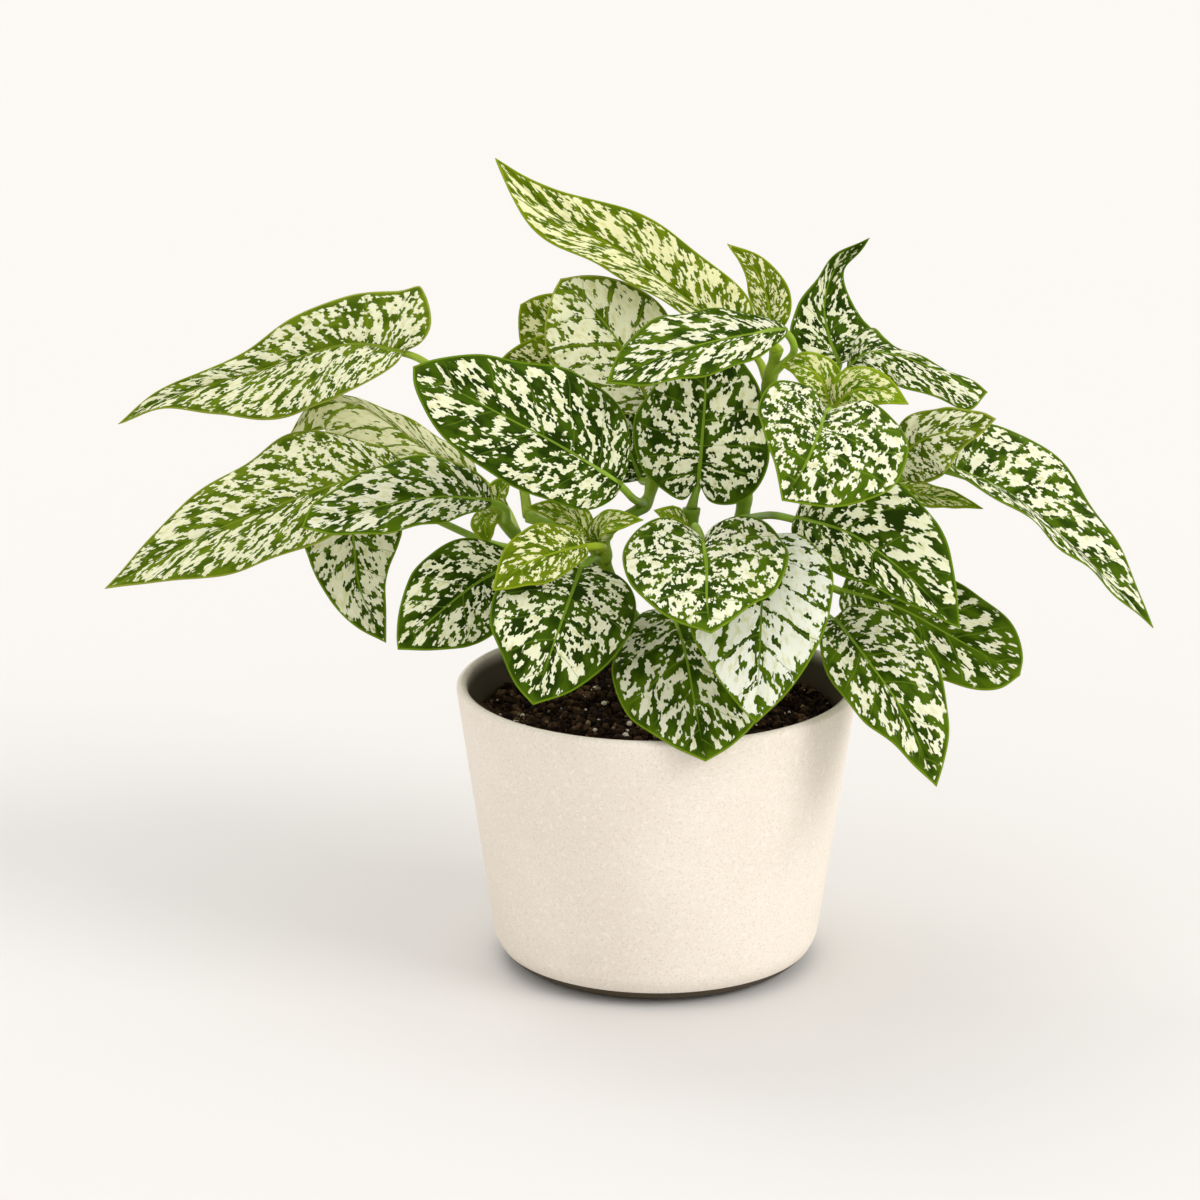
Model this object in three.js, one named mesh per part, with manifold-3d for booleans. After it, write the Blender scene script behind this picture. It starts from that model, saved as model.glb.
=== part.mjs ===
// A potted polka dot plant: a plain tapered pot filled with soil, branching stems, and broad leaves
// on thin stalks. Millimetres, +Z up, the front of the plant faces -Y, the pot stands on z = 0.
import * as THREE from 'three';
import Module from 'manifold-3d';

const wasm = await Module();
wasm.setup();

// Pot
const POT_HEIGHT = 86.5;
const RIM_RADIUS = 60;
const WALL_TAPER = 0.139; // radius lost per mm down the wall
const WALL = 3.2;
const POT_FLOOR = 4;
const FOOT_ROUNDING = 12;
const INNER_ROUNDING = 9;
const POT_SIDES = 42;
const ROUNDING_STEPS = 5;
const LIP_STEPS = 4;

// Soil
const SOIL_LEVEL = 75;
const SOIL_RINGS = 5;
const SOIL_LUMP = 1.1; // height of the lumps on the surface
const BROAD_SHARE = 0.6; // of that height, in the wide lumps
const SEAT_GAP = 0.35; // clear space where two pieces touch

// Stems and leaf stalks
const ROOT_END = 58; // how low the stems reach in the soil
const STEM_SIDES = 8;
const STEM_STEP = 7; // mm between rings of a stem
const STALK_SIDES = 5;
const STALK_STEP = 11;
const STALK_RADIUS = 1.15;
const RIB_END_RADIUS = 0.55;
const RIB_START = 0.02; // share of the blade where the stalk meets the raised rib
const RIB_REACH = 0.5; // share of the blade that the raised rib runs under
const RIB_DROP = 0.5; // the rib's middle lies this far below the blade's upper face

// Blades
const BLADE_THICKNESS = 0.8;
const BLADE_STEPS = 9; // along the rib
const HALF_STEPS = 2; // from the rib to the edge
const REAR_STEPS = 5; // on the leaves behind the plant
const FOOT_CROWDING = 1.3; // above 1, the steps on the rib lie closer together near the foot

// Young leaves at the joints of the stems
const YOUNG_STEPS = 5;
const YOUNG_OUTLINE = [[0.12, 0.5], [0.42, 1], [0.72, 0.65]]; // share of the length, of the half width
const YOUNG_FOLD = 12; // degrees up from the rib on both sides
const YOUNG_CURL = -10; // degrees from the rib to the edge

const GREEN = 0x4a6f22;
const LIGHT_GREEN = 0x9db25a;
const LIME = 0xb9c95c;
const CREAM = 0xe9ebc8;
const STEM_GREEN = 0x5c7d22;
const SOIL_BROWN = 0x2b211c;
const POT_ROUGHNESS = 0.75;
const PLANT_ROUGHNESS = 0.6;
const SOIL_ROUGHNESS = 0.95;
const POT_CREAM = 0xeee2d0;

// Each leaf: rib runs from the foot of the blade to its tip. left and right are the two halves of the
// outline, seen from above looking towards the tip, as [share of the rib, distance across].
// face is the way the upper side looks, from foot to tip. fold lifts the halves from the rib and curl
// bends them on towards the edge, in degrees. stalk runs from the middle of the stem to the blade.
const LEAVES = {
  leaf_left_upper_long: {
    stem: 'stem_left', colour: LIGHT_GREEN,
    stalk: [[-38, -8, 139.5], [-41, 2, 149], [-55, 14, 166], [-69, 20, 179]],
    rib: [[-76, 22, 182], [-92, 32, 182], [-125, 48, 169], [-152, 56, 159], [-167, 60, 150]],
    left: [[0, 5], [0.1, 18], [0.34, 20], [0.49, 18.5], [0.65, 12], [0.83, 4]],
    right: [[-0.05, 4], [-0.06, 10], [0.02, 21], [0.09, 18], [0.21, 15.5], [0.36, 12.5],
      [0.55, 7.5], [0.7, 4.5], [0.87, 3]],
    face: [[0.15, -0.75, 0.65], [0, -0.7, 0.7], [-0.1, -0.6, 0.8]], fold: [6, 22], curl: [-10, -10],
  },
  leaf_left_lower_long: {
    stem: 'stem_far_left', colour: LIGHT_GREEN,
    stalk: [[-48, 4, 138], [-58, 9, 147]],
    rib: [[-76, 10, 149.5], [-91, 12, 145.5], [-107, 15, 139], [-138, 20, 125], [-168, 24, 107.5]],
    left: [[0.03, 7], [0.2, 16], [0.5, 18], [0.68, 15], [0.85, 7]],
    right: [[0.02, 5], [0.12, 12], [0.24, 20], [0.35, 22.5], [0.48, 19], [0.63, 15], [0.78, 10], [0.92, 3]],
    face: [[0, -0.7, 0.7], [-0.2, -0.6, 0.8]], fold: [5, 12], curl: [-10, -20],
  },
  leaf_left_front: {
    stem: 'stem_far_left', colour: GREEN,
    stalk: [[-45, 2.5, 135], [-45, -5, 141]],
    rib: [[-48.5, -12, 145.5], [-63, -18, 148], [-76, -23, 147.5], [-89, -27, 145], [-103, -31, 142]],
    left: [[0.02, 3], [0.11, 6], [0.33, 10.5], [0.55, 11], [0.82, 7.5]],
    right: [[0.02, 6], [0.12, 11.5], [0.3, 15], [0.49, 15], [0.72, 11], [0.9, 7]],
    face: [[0, -0.6, 0.8], [-0.1, -0.6, 0.8]], fold: [10, 14], curl: [-10, -20],
  },
  leaf_left_cream: {
    stem: 'stem_far_left', colour: CREAM,
    stalk: [[-42, 2, 131.5], [-45, 12, 136]],
    rib: [[-53.7, 14.0, 146.5], [-67.8, 22.0, 151.2], [-80.2, 30.0, 157.5], [-91.6, 35.0, 162.5],
      [-103.1, 38.0, 162.0], [-112.2, 36.0, 152.1]],
    left: [[0.08, 5], [0.22, 8], [0.37, 11], [0.58, 13], [0.85, 9]],
    right: [[0.07, 4], [0.25, 6], [0.45, 4.5], [0.63, 2.5], [0.86, 1.5]],
    face: [[0.2, -0.7, 0.6], [-0.2, -0.7, 0.6]], fold: [5, 5], curl: [-20, -20],
  },
  leaf_centre_left_large: {
    stem: 'stem_left', colour: GREEN,
    stalk: [[-4, -5, 142.5], [-7, -16, 147]],
    rib: [[-10, -26, 154], [-28, -32, 167], [-48, -40, 180], [-69, -48, 194]],
    left: [[0.02, 6], [0.1, 13], [0.3, 17], [0.52, 18], [0.7, 16], [0.86, 12], [0.97, 5]],
    right: [[0.01, 6], [0.05, 14], [0.18, 22], [0.34, 23], [0.52, 19], [0.76, 13], [0.93, 5]],
    face: [[0.1, -0.8, 0.6], [0.1, -0.85, 0.55]], fold: [6, 4], curl: [-12, -12],
  },
  leaf_left_low_dark: {
    stem: 'stem_far_left', colour: GREEN,
    stalk: [[-37, 1, 127], [-37, -10, 130]],
    rib: [[-40, -22, 130], [-52, -28, 125], [-64, -35, 117], [-75, -40, 108]],
    left: [[0.05, 6], [0.25, 13], [0.47, 15], [0.65, 13], [0.84, 7]],
    right: [[0.05, 5], [0.2, 12], [0.38, 15], [0.6, 14], [0.8, 9], [0.95, 3]],
    face: [[0.1, -0.9, 0.45]], fold: [6, 6], curl: [-15, -15],
  },
  leaf_left_hanging: {
    stem: 'stem_far_left', colour: GREEN,
    stalk: [[-35, 1, 126], [-50, 14, 125], [-79, 26, 134]],
    rib: [[-93, 28, 136], [-92, 26, 121], [-90, 22, 108], [-82, 16, 93]],
    left: [[0.02, 8], [0.22, 15], [0.5, 10], [0.75, 6]],
    right: [[0.02, 8], [0.17, 15], [0.4, 14], [0.61, 10], [0.85, 5]],
    face: [[0.1, -1, 0.3]], fold: [10, 4], curl: [-10, -10],
  },
  leaf_lime_small: {
    stem: 'stem_left', colour: LIME,
    stalk: [[-17, -13.5, 130], [-16, -25, 135]],
    rib: [[-20, -34, 138], [-29, -42, 138], [-38, -48, 136], [-47, -54, 130]],
    left: [[0.05, 3], [0.25, 6], [0.55, 8], [0.8, 5]],
    right: [[0.05, 5], [0.25, 9], [0.46, 10], [0.7, 7], [0.92, 2]],
    face: [[0, -0.8, 0.6]], fold: [4, 10], curl: [-15, -15],
  },
  leaf_front_left_round: {
    stem: 'stem_left', colour: GREEN,
    stalk: [[-17, -12.5, 127.5], [-19, -24, 131]],
    rib: [[-22, -32, 131], [-26, -48, 123], [-30, -60, 114], [-35, -70, 101]],
    left: [[-0.02, 10], [0.12, 18], [0.32, 20], [0.6, 17], [0.84, 10]],
    right: [[0, 8], [0.15, 17], [0.4, 21], [0.62, 19], [0.78, 13], [0.93, 6]],
    face: [[0.05, -0.85, 0.55], [0, -0.95, 0.3]], fold: [4, 4], curl: [-14, -14],
  },
  leaf_front_low: {
    stem: 'stem_centre', colour: GREEN,
    stalk: [[10, -8, 109], [7, -16, 116]],
    rib: [[4, -26, 117], [8, -42, 109], [11, -54, 96], [14, -66, 83]],
    left: [[0, 8], [0.14, 17], [0.35, 23], [0.6, 22], [0.8, 17], [0.93, 9]],
    right: [[0, 8], [0.14, 15], [0.32, 21], [0.5, 22], [0.68, 19], [0.86, 10]],
    face: [[0, -0.6, 0.75], [0, -0.9, 0.4]], fold: [4, 4], curl: [-14, -10],
  },
  leaf_front_white: {
    stem: 'stem_centre', colour: CREAM,
    stalk: [[10, -8, 124], [22, -22, 136]],
    rib: [[32, -32, 141], [30, -52, 128], [29, -66, 113], [28, -74, 97]],
    left: [[0, 10], [0.14, 18], [0.3, 20], [0.56, 18], [0.84, 9]],
    right: [[-0.02, 10], [0.12, 18], [0.34, 21], [0.57, 20], [0.75, 14], [0.91, 6]],
    face: [[0, -0.75, 0.65], [0, -0.95, 0.3]], fold: [4, 4], curl: [-10, -14],
  },
  leaf_front_heart: {
    stem: 'stem_centre', colour: CREAM,
    stalk: [[10, -8, 133], [11, -24, 141]],
    rib: [[13, -44, 143], [14, -56, 138], [14, -70, 132], [15, -82, 126]],
    left: [[-0.14, 4], [-0.22, 10], [-0.14, 19], [0.1, 24], [0.38, 22], [0.62, 17], [0.86, 8]],
    right: [[-0.16, 5], [-0.24, 11], [-0.16, 19], [0.05, 23], [0.35, 23], [0.6, 19], [0.86, 9]],
    face: [[0, -0.5, 0.85], [0, -0.7, 0.7]], fold: [4, 4], curl: [-16, -16],
  },
  leaf_centre_back_round: {
    stem: 'stem_centre', colour: GREEN,
    stalk: [[10, -8, 142], [11, -8, 146]],
    rib: [[12, -8, 150], [13, -2, 161], [14, 6, 174], [14, 18, 190]],
    left: [[-0.12, 4], [-0.06, 11], [0.06, 17], [0.22, 20], [0.42, 20], [0.65, 14], [0.86, 7]],
    right: [[-0.12, 4], [-0.12, 11], [-0.02, 17], [0.15, 20], [0.4, 19], [0.65, 15], [0.86, 8]],
    face: [[0, -0.9, 0.4]], fold: [6, 6], curl: [-16, -16],
  },
  leaf_back_white: {
    stem: 'stem_left', colour: CREAM,
    stalk: [[-2, 24, 163], [-1, 18, 166]],
    rib: [[-2, 16, 167], [-12, 24, 185], [-21, 26, 196], [-29, 24, 204]],
    left: [[0.02, 8], [0.2, 15], [0.42, 19], [0.66, 20], [0.88, 15], [0.98, 6]],
    right: [[0.02, 8], [0.2, 15], [0.45, 17], [0.66, 14], [0.88, 6]],
    face: [[0.1, -0.9, 0.4]], fold: [6, 6], curl: [-10, -10],
  },
  leaf_top_white: {
    stem: 'stem_upper', colour: CREAM,
    stalk: [[34, 13, 178], [40, 4, 187]],
    rib: [[38, -2, 195], [19, -12, 194], [2, -20, 191], [-15, -26, 184]],
    left: [[0.04, 3], [0.22, 9], [0.5, 12], [0.82, 8]],
    right: [[0.04, 3], [0.18, 8], [0.38, 12], [0.62, 13], [0.84, 8]],
    face: [[0.1, -0.6, 0.8]], fold: [10, 10], curl: [-10, -20],
  },
  leaf_top_long: {
    stem: 'stem_upper', colour: LIME,
    stalk: [[33, 15, 174], [30, 21, 180]],
    rib: [[26, 24, 184], [9, 26, 197], [-11, 30, 211], [-32, 34, 222], [-49, 42, 237]],
    left: [[0.03, 4], [0.22, 8], [0.44, 11], [0.62, 13], [0.74, 12], [0.86, 8], [0.95, 3]],
    right: [[0.01, 6], [0.07, 12], [0.23, 14], [0.42, 14], [0.59, 12], [0.8, 6], [0.92, 2]],
    face: [[0.3, -0.8, 0.5]], fold: [34, 10], curl: [-10, -10],
  },
  leaf_top_pointed: {
    stem: 'stem_upper', colour: LIME,
    stalk: [[35, 10, 186], [34, 7, 188]],
    rib: [[33, 4, 191], [32, 4, 202], [28, 2, 212], [20, -2, 220]],
    left: [[0.05, 2], [0.2, 4], [0.42, 5], [0.7, 3]],
    right: [[0.05, 3], [0.18, 6], [0.36, 7], [0.66, 4]],
    face: [[0, -0.9, 0.3]], fold: [10, 10], curl: [-10, -10],
  },
  leaf_right_top_curled: {
    stem: 'stem_right', colour: GREEN,
    stalk: [[53, 4, 175], [51, 12, 175]],
    rib: [[54, 14, 180.5], [51, 20, 187], [49.5, 25, 196], [52.5, 28, 206], [62.5, 22, 217]],
    left: [[0.03, 5], [0.16, 10], [0.26, 12], [0.4, 8.5], [0.57, 4], [0.78, 2.5]],
    right: [[0.04, 8], [0.15, 14], [0.32, 11.5], [0.54, 6.5], [0.69, 2.5], [0.88, 1.5]],
    face: [[0.3, -0.85, 0.3]], fold: [4, 10], curl: [-10, -10],
  },
  leaf_right_top_folded: {
    stem: 'stem_right', colour: GREEN,
    stalk: [[55, 9, 178], [57, 11, 180]],
    rib: [[55.6, 10.0, 180.3], [61.7, 5.0, 186.3], [69.5, 2.0, 186.4], [81.2, 0.0, 182.4],
      [96.6, -3.0, 176.3]],
    left: [[0.01, 7], [0.08, 12], [0.16, 13], [0.27, 7.5], [0.45, 3.5], [0.7, 2.5], [0.9, 2]],
    right: [[0.1, 4.5], [0.36, 8], [0.52, 9.5], [0.74, 8], [0.94, 8]],
    face: [[0.2, -0.6, 0.7]], fold: [-14, -10], curl: [-10, -10],
  },
  leaf_right_heart: {
    stem: 'stem_right', colour: GREEN,
    stalk: [[50, -3, 167], [50, -18, 174]],
    rib: [[48, -32, 177], [45, -44, 172], [41, -54, 166], [35, -62, 159]],
    left: [[-0.14, 4], [-0.3, 11], [-0.2, 21], [0.12, 26], [0.5, 25], [0.76, 16], [0.94, 5]],
    right: [[-0.14, 3], [-0.26, 8], [-0.22, 15], [0.05, 19], [0.35, 17], [0.75, 8]],
    face: [[0.1, -0.8, 0.6]], fold: [4, 4], curl: [-14, -14],
  },
  leaf_right_dark: {
    stem: 'stem_upper', colour: GREEN,
    stalk: [[25, 16, 132], [30, 2, 137], [35, -12, 141]],
    rib: [[40, -20, 143], [56, -28, 140], [71, -36, 131], [87, -46, 117]],
    left: [[0, 10], [0.1, 19], [0.3, 22], [0.55, 19], [0.77, 11], [0.94, 3]],
    right: [[0.03, 6], [0.14, 11], [0.31, 14], [0.5, 12], [0.7, 8], [0.9, 3]],
    face: [[0.1, -0.75, 0.65]], fold: [6, 10], curl: [-10, -10],
  },
  leaf_right_long: {
    stem: 'stem_right', colour: GREEN,
    stalk: [[71, 6, 148], [77, 5, 151]],
    rib: [[85, 2, 153], [103, -2, 146], [126, -4, 127], [147, -8, 106]],
    left: [[0.01, 14], [0.07, 22], [0.2, 25], [0.42, 23], [0.64, 16], [0.86, 7]],
    right: [[0.05, 6], [0.23, 11], [0.45, 11], [0.68, 9], [0.88, 5]],
    face: [[0.3, -0.6, 0.7], [0.5, -0.6, 0.6]], fold: [0, 38], curl: [-10, -10],
  },
  leaf_right_light: {
    stem: 'stem_right', colour: CREAM,
    stalk: [[67, 6, 146], [68, 1, 151]],
    rib: [[69, -4, 155], [78, -10, 164], [88, -14, 168], [98, -18, 172]],
    left: [[0.04, 5], [0.2, 8], [0.4, 9], [0.66, 7], [0.9, 3]],
    right: [[0.02, 8], [0.22, 12], [0.5, 11], [0.66, 6], [0.86, 3]],
    face: [[0, -0.9, 0.5]], fold: [-10, -10], curl: [-10, -10],
  },
  leaf_right_low_front: {
    stem: 'stem_right', colour: GREEN,
    stalk: [[39, 5, 107], [44, -9, 113]],
    rib: [[52, -22, 113], [61, -34, 104], [72, -44, 90], [81, -52, 71]],
    left: [[-0.03, 8], [0.08, 17], [0.26, 20], [0.5, 18], [0.71, 13], [0.91, 5]],
    right: [[0.02, 6], [0.14, 11], [0.35, 15], [0.58, 13], [0.82, 6]],
    face: [[0.4, -0.8, 0.45]], fold: [4, 10], curl: [-14, -10],
  },
  leaf_right_low_back: {
    stem: 'stem_right', colour: GREEN,
    stalk: [[39.5, 5, 109], [47, 6, 115]],
    rib: [[55, 4, 114], [72, 2, 109], [90, -2, 100], [108, -8, 91]],
    left: [[0.02, 7], [0.2, 14], [0.45, 16], [0.7, 16], [0.86, 12], [0.96, 6]],
    right: [[0.02, 6], [0.2, 13], [0.45, 15], [0.68, 14], [0.82, 12], [0.95, 7]],
    face: [[0.2, -0.8, 0.6]], fold: [4, 4], curl: [-10, -10],
  },
  leaf_centre_shaded: {
    stem: 'stem_left', colour: GREEN,
    stalk: [[-2, 2, 147], [-3, 8, 146]],
    rib: [[-5, 13, 145], [-9, 18, 154], [-13, 22, 163], [-17, 25, 172]],
    left: [[0.05, 6], [0.3, 11], [0.6, 9], [0.85, 4]],
    right: [[0.05, 5], [0.3, 8], [0.6, 6], [0.85, 3]],
    face: [[0, -0.9, 0.4]], fold: [6, 6], curl: [-10, -10],
  },
  leaf_back_lime_upper: {
    stem: 'stem_left', colour: LIME,
    stalk: [[-2, 26, 164], [-8, 34, 168]],
    rib: [[-18, 40, 171], [-27, 48, 178], [-34, 50, 184], [-42, 52, 190]],
    left: [[0.05, 6], [0.25, 11], [0.5, 12], [0.75, 10], [0.93, 4]],
    right: [[0.05, 6], [0.25, 11], [0.5, 13], [0.75, 11], [0.93, 5]],
    face: [[0, -0.9, 0.4]], fold: [6, 6], curl: [-10, -10],
  },
  leaf_back_lime_lower: {
    stem: 'stem_left', colour: LIME,
    stalk: [[-2, 22, 161], [-9, 31, 166]],
    rib: [[-17, 34, 169], [-28, 38, 173], [-37, 38, 175], [-47, 36, 177]],
    left: [[0.05, 5], [0.25, 9], [0.5, 10], [0.8, 6]],
    right: [[0.05, 5], [0.25, 9], [0.55, 10], [0.8, 6], [0.95, 2]],
    face: [[0, -0.9, 0.4]], fold: [6, 6], curl: [-10, -10],
  },
  leaf_rear_low: {
    stem: 'stem_upper', colour: GREEN,
    stalk: [[21, 12.5, 96.5], [21, 22, 100.5]],
    rib: [[20, 33, 101.5], [19, 55, 104], [18, 78, 102.5], [17, 99, 96.5]],
    left: [[0, 6.5], [0.08, 17], [0.3, 21], [0.6, 17], [0.85, 7.5]],
    right: [[0, 6.5], [0.1, 17], [0.33, 21], [0.62, 16], [0.87, 6.5]],
    face: [[0, 0.35, 1]], fold: [6, 6], curl: [-14, -14],
  },
  leaf_rear_upper: {
    stem: 'stem_upper', colour: GREEN,
    stalk: [[28, 18, 149], [23, 28, 155.5]],
    rib: [[18, 39, 159], [9, 58, 165], [-1, 78, 168], [-11, 98, 166]],
    left: [[0, 6], [0.08, 16], [0.3, 20], [0.6, 16], [0.85, 7]],
    right: [[0, 6], [0.1, 16], [0.33, 20], [0.62, 15], [0.87, 6]],
    face: [[-0.15, 0.3, 1]], fold: [6, 6], curl: [-14, -14],
  },
  leaf_rear_right: {
    stem: 'stem_right', colour: LIGHT_GREEN,
    stalk: [[51.5, 3.5, 141.5], [53.5, 14, 145]],
    rib: [[56, 25, 144.5], [60, 46, 144], [64, 66, 136.5], [67, 83, 124]],
    left: [[0, 6.5], [0.08, 17], [0.3, 21], [0.6, 17], [0.85, 7.5]],
    right: [[0, 6.5], [0.1, 17], [0.33, 21], [0.62, 16], [0.87, 6.5]],
    face: [[0.05, 0.35, 1]], fold: [6, 6], curl: [-14, -14],
  },
  leaf_rear_left_low: {
    stem: 'stem_far_left', colour: GREEN,
    stalk: [[-12.5, 7.5, 107], [-18, 14, 110]],
    rib: [[-24, 21, 110.5], [-38, 37, 111.5], [-52, 53, 108], [-65, 68, 99.5]],
    left: [[0, 6.5], [0.08, 17], [0.3, 21], [0.6, 17], [0.85, 7.5]],
    right: [[0, 6.5], [0.1, 17], [0.33, 21], [0.62, 16], [0.87, 6.5]],
    face: [[-0.25, 0.25, 1]], fold: [6, 6], curl: [-14, -14],
  },
  leaf_rear_left: {
    stem: 'stem_far_left', colour: LIGHT_GREEN,
    stalk: [[-30.5, 1, 123.5], [-31, 8, 133]],
    rib: [[-31.5, 17.5, 140], [-33, 35, 151], [-34, 55, 155], [-36, 76, 151]],
    left: [[0, 5.5], [0.08, 15], [0.3, 19], [0.6, 15], [0.85, 6.5]],
    right: [[0, 5.5], [0.1, 15], [0.33, 19], [0.62, 14], [0.87, 5.5]],
    face: [[0, 0.35, 1]], fold: [6, 6], curl: [-14, -14],
  },
  leaf_rear_middle: {
    stem: 'stem_upper', colour: GREEN,
    stalk: [[26, 17.5, 138], [28, 28, 145]],
    rib: [[30, 40, 148.5], [33, 61, 151.5], [37, 82, 145], [39, 97, 130]],
    left: [[0, 5.5], [0.08, 14.5], [0.3, 18], [0.6, 14.5], [0.85, 6.5]],
    right: [[0, 5.5], [0.1, 14.5], [0.33, 18], [0.62, 13.5], [0.87, 5.5]],
    face: [[0.05, 0.35, 1]], fold: [6, 6], curl: [-14, -14],
  },
};

// Each stem: runs are its branches, each with the radius at its foot and at its end. young are the
// small leaves at its joints, grown in one with it: rib, half width, the way the upper side looks.
const STEMS = {
  stem_left: {
    runs: [
      { radii: [2.3, 1.5], path: [[4, 6, ROOT_END], [4, 6, 80], [0, 4, 95], [-8, 0, 108], [-13, -7, 119],
        [-18, -14, 131], [-27, -13, 136], [-38, -8, 139.5]] },
      { radii: [1.9, 1.4], path: [[-16, -12, 127], [-15, -15, 136], [-10, -13, 140], [-3, -3, 143],
        [-1, 14, 157], [-2, 26, 164]] },
    ],
    young: [
      { rib: [[-18, -14.5, 131.5], [-23, -20, 140], [-30, -23, 145], [-38, -25, 147]],
        half: 6, face: [0, -0.7, 0.7] },
      { rib: [[-16.5, -14.5, 132.5], [-16, -21, 140], [-11, -26, 143], [-4, -28, 144]],
        half: 5, face: [0, -0.7, 0.7] },
    ],
  },
  stem_far_left: {
    runs: [
      { radii: [2.1, 1.4], path: [[-4, 12, ROOT_END], [-4, 12, 80], [-7, 10, 95], [-13, 7, 108],
        [-25, 2, 120], [-37, 1, 127], [-44, 2, 133], [-49, 4, 141]] },
    ],
    young: [
      { rib: [[-48, 3, 139], [-46, -2, 146], [-43, -5, 150]], half: 4.5, face: [-0.3, -0.8, 0.5] },
      { rib: [[-48, 3, 138], [-51, -2, 136], [-50, -6, 130]], half: 4.5, face: [-0.3, -0.8, 0.5] },
    ],
  },
  stem_centre: {
    runs: [
      { radii: [2.5, 2.0], path: [[10, -6, ROOT_END], [10, -6, 80], [10, -8, 114], [10, -8, 142]] },
    ],
    young: [
      { rib: [[10, -9, 137], [4, -17, 142], [-1, -21, 145]], half: 4, face: [0, -0.8, 0.6] },
      { rib: [[10, -8, 133], [5, -12, 137], [1, -14, 137]], half: 2.5, face: [0, -0.8, 0.6] },
    ],
  },
  stem_upper: {
    runs: [
      { radii: [2.3, 1.6], path: [[20, 12, ROOT_END], [20, 12, 80], [24, 14, 120], [27, 18, 144],
        [32, 16, 169], [35, 10, 186]] },
    ],
    young: [],
  },
  stem_right: {
    runs: [
      { radii: [2.3, 1.5], path: [[31, 8, ROOT_END], [31, 8, 80], [40, 5, 111], [47, -2, 137],
        [49, -4, 162], [51, -2, 172], [55, 9, 178]] },
      { radii: [1.8, 1.4], path: [[46, -1, 132], [49, 2, 140], [60, 6, 144], [71, 6, 148]] },
    ],
    young: [
      { rib: [[51, -3, 171], [57, -9, 178], [64, -12, 179], [73, -13, 175]],
        half: 7, face: [0.2, -0.8, 0.5] },
      { rib: [[51, -3, 171], [47, -4, 181], [42, -2, 184], [36, 2, 183]],
        half: 6.5, face: [0, -0.7, 0.6] },
      { rib: [[70, 6, 147], [79, 9, 142], [88, 10, 140], [97, 8, 138]], half: 4, face: [0, -0.7, 0.7] },
    ],
  },
};

const vector = ([x, y, z]) => new THREE.Vector3(x, y, z);

// A closed mesh from numbered points, as a solid for the boolean cuts and joins.
function solid(points, faces) {
  const vertProperties = new Float32Array(points.flatMap((p) => [p.x, p.y, p.z]));
  const triVerts = new Uint32Array(faces.flat());
  return new wasm.Manifold(new wasm.Mesh({ numProp: 3, vertProperties, triVerts }));
}

function meshOf(name, body, colour, roughness) {
  const { vertProperties, triVerts } = body.getMesh();
  const geometry = new THREE.BufferGeometry();
  geometry.setAttribute('position', new THREE.Float32BufferAttribute(vertProperties, 3));
  geometry.setIndex(Array.from(triVerts));
  geometry.computeVertexNormals();
  const material = new THREE.MeshStandardMaterial({ color: colour, roughness, metalness: 0 });
  const mesh = new THREE.Mesh(geometry, material);
  mesh.name = name;
  return mesh;
}

// A round closed body from a profile of [radius, height] that starts and ends on the axis.
// lift can raise a point: it is given x, y and the profile's place.
function turned(profile, sides, lift = () => 0) {
  const inner = profile.slice(1, -1);
  const points = [new THREE.Vector3(0, 0, profile[0][1])];
  for (const [radius, height] of inner) {
    for (let k = 0; k < sides; k += 1) {
      const angle = (2 * Math.PI * k) / sides;
      const x = radius * Math.cos(angle);
      const y = radius * Math.sin(angle);
      points.push(new THREE.Vector3(x, y, height + lift(x, y, height)));
    }
  }
  const last = points.length;
  points.push(new THREE.Vector3(0, 0, profile.at(-1)[1]));
  const faces = [];
  for (let k = 0; k < sides; k += 1) {
    const next = (k + 1) % sides;
    faces.push([0, 1 + next, 1 + k]);
    for (let ring = 0; ring < inner.length - 1; ring += 1) {
      const a = 1 + ring * sides + k;
      const b = 1 + ring * sides + next;
      faces.push([a, b, b + sides], [a, b + sides, a + sides]);
    }
    const top = 1 + (inner.length - 1) * sides;
    faces.push([top + k, top + next, last]);
  }
  return solid(points, faces);
}

const wallRadius = (z) => RIM_RADIUS - WALL_TAPER * (POT_HEIGHT - z);
const wallAngle = Math.atan(WALL_TAPER);

// The rounded turn from a flat floor at height base up to a wall that follows the taper.
function roundedTurn(base, radius, outset) {
  const centre = wallRadius(base + radius) + outset - radius / Math.cos(wallAngle);
  const turn = [];
  for (let k = 0; k <= ROUNDING_STEPS; k += 1) {
    const angle = -Math.PI / 2 + (k / ROUNDING_STEPS) * (Math.PI / 2 - wallAngle);
    turn.push([centre + radius * Math.cos(angle), base + radius + radius * Math.sin(angle)]);
  }
  return turn;
}

function potBody() {
  const lipRadius = WALL / 2;
  const lipCentre = [wallRadius(POT_HEIGHT) - lipRadius, POT_HEIGHT - lipRadius];
  const lip = [];
  for (let k = 0; k <= LIP_STEPS; k += 1) {
    const angle = (k / LIP_STEPS) * Math.PI;
    lip.push([lipCentre[0] + lipRadius * Math.cos(angle), lipCentre[1] + lipRadius * Math.sin(angle)]);
  }
  const inside = roundedTurn(POT_FLOOR, INNER_ROUNDING, -WALL).reverse();
  const outside = roundedTurn(0, FOOT_ROUNDING, 0);
  return turned([[0, 0], ...outside, ...lip, ...inside, [0, POT_FLOOR]], POT_SIDES);
}

// Even, repeatable lumps on the soil: wide ones some 30 mm apart, with finer ones across them.
function soilLump(x, y) {
  const broad = Math.sin(x * 0.21 + 1.3) * Math.cos(y * 0.17 - 0.6);
  const fine = Math.sin(x * 0.53 - y * 0.41) * Math.cos(y * 0.61 + x * 0.19);
  return SOIL_LUMP * (BROAD_SHARE * broad + (1 - BROAD_SHARE) * fine);
}

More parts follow.
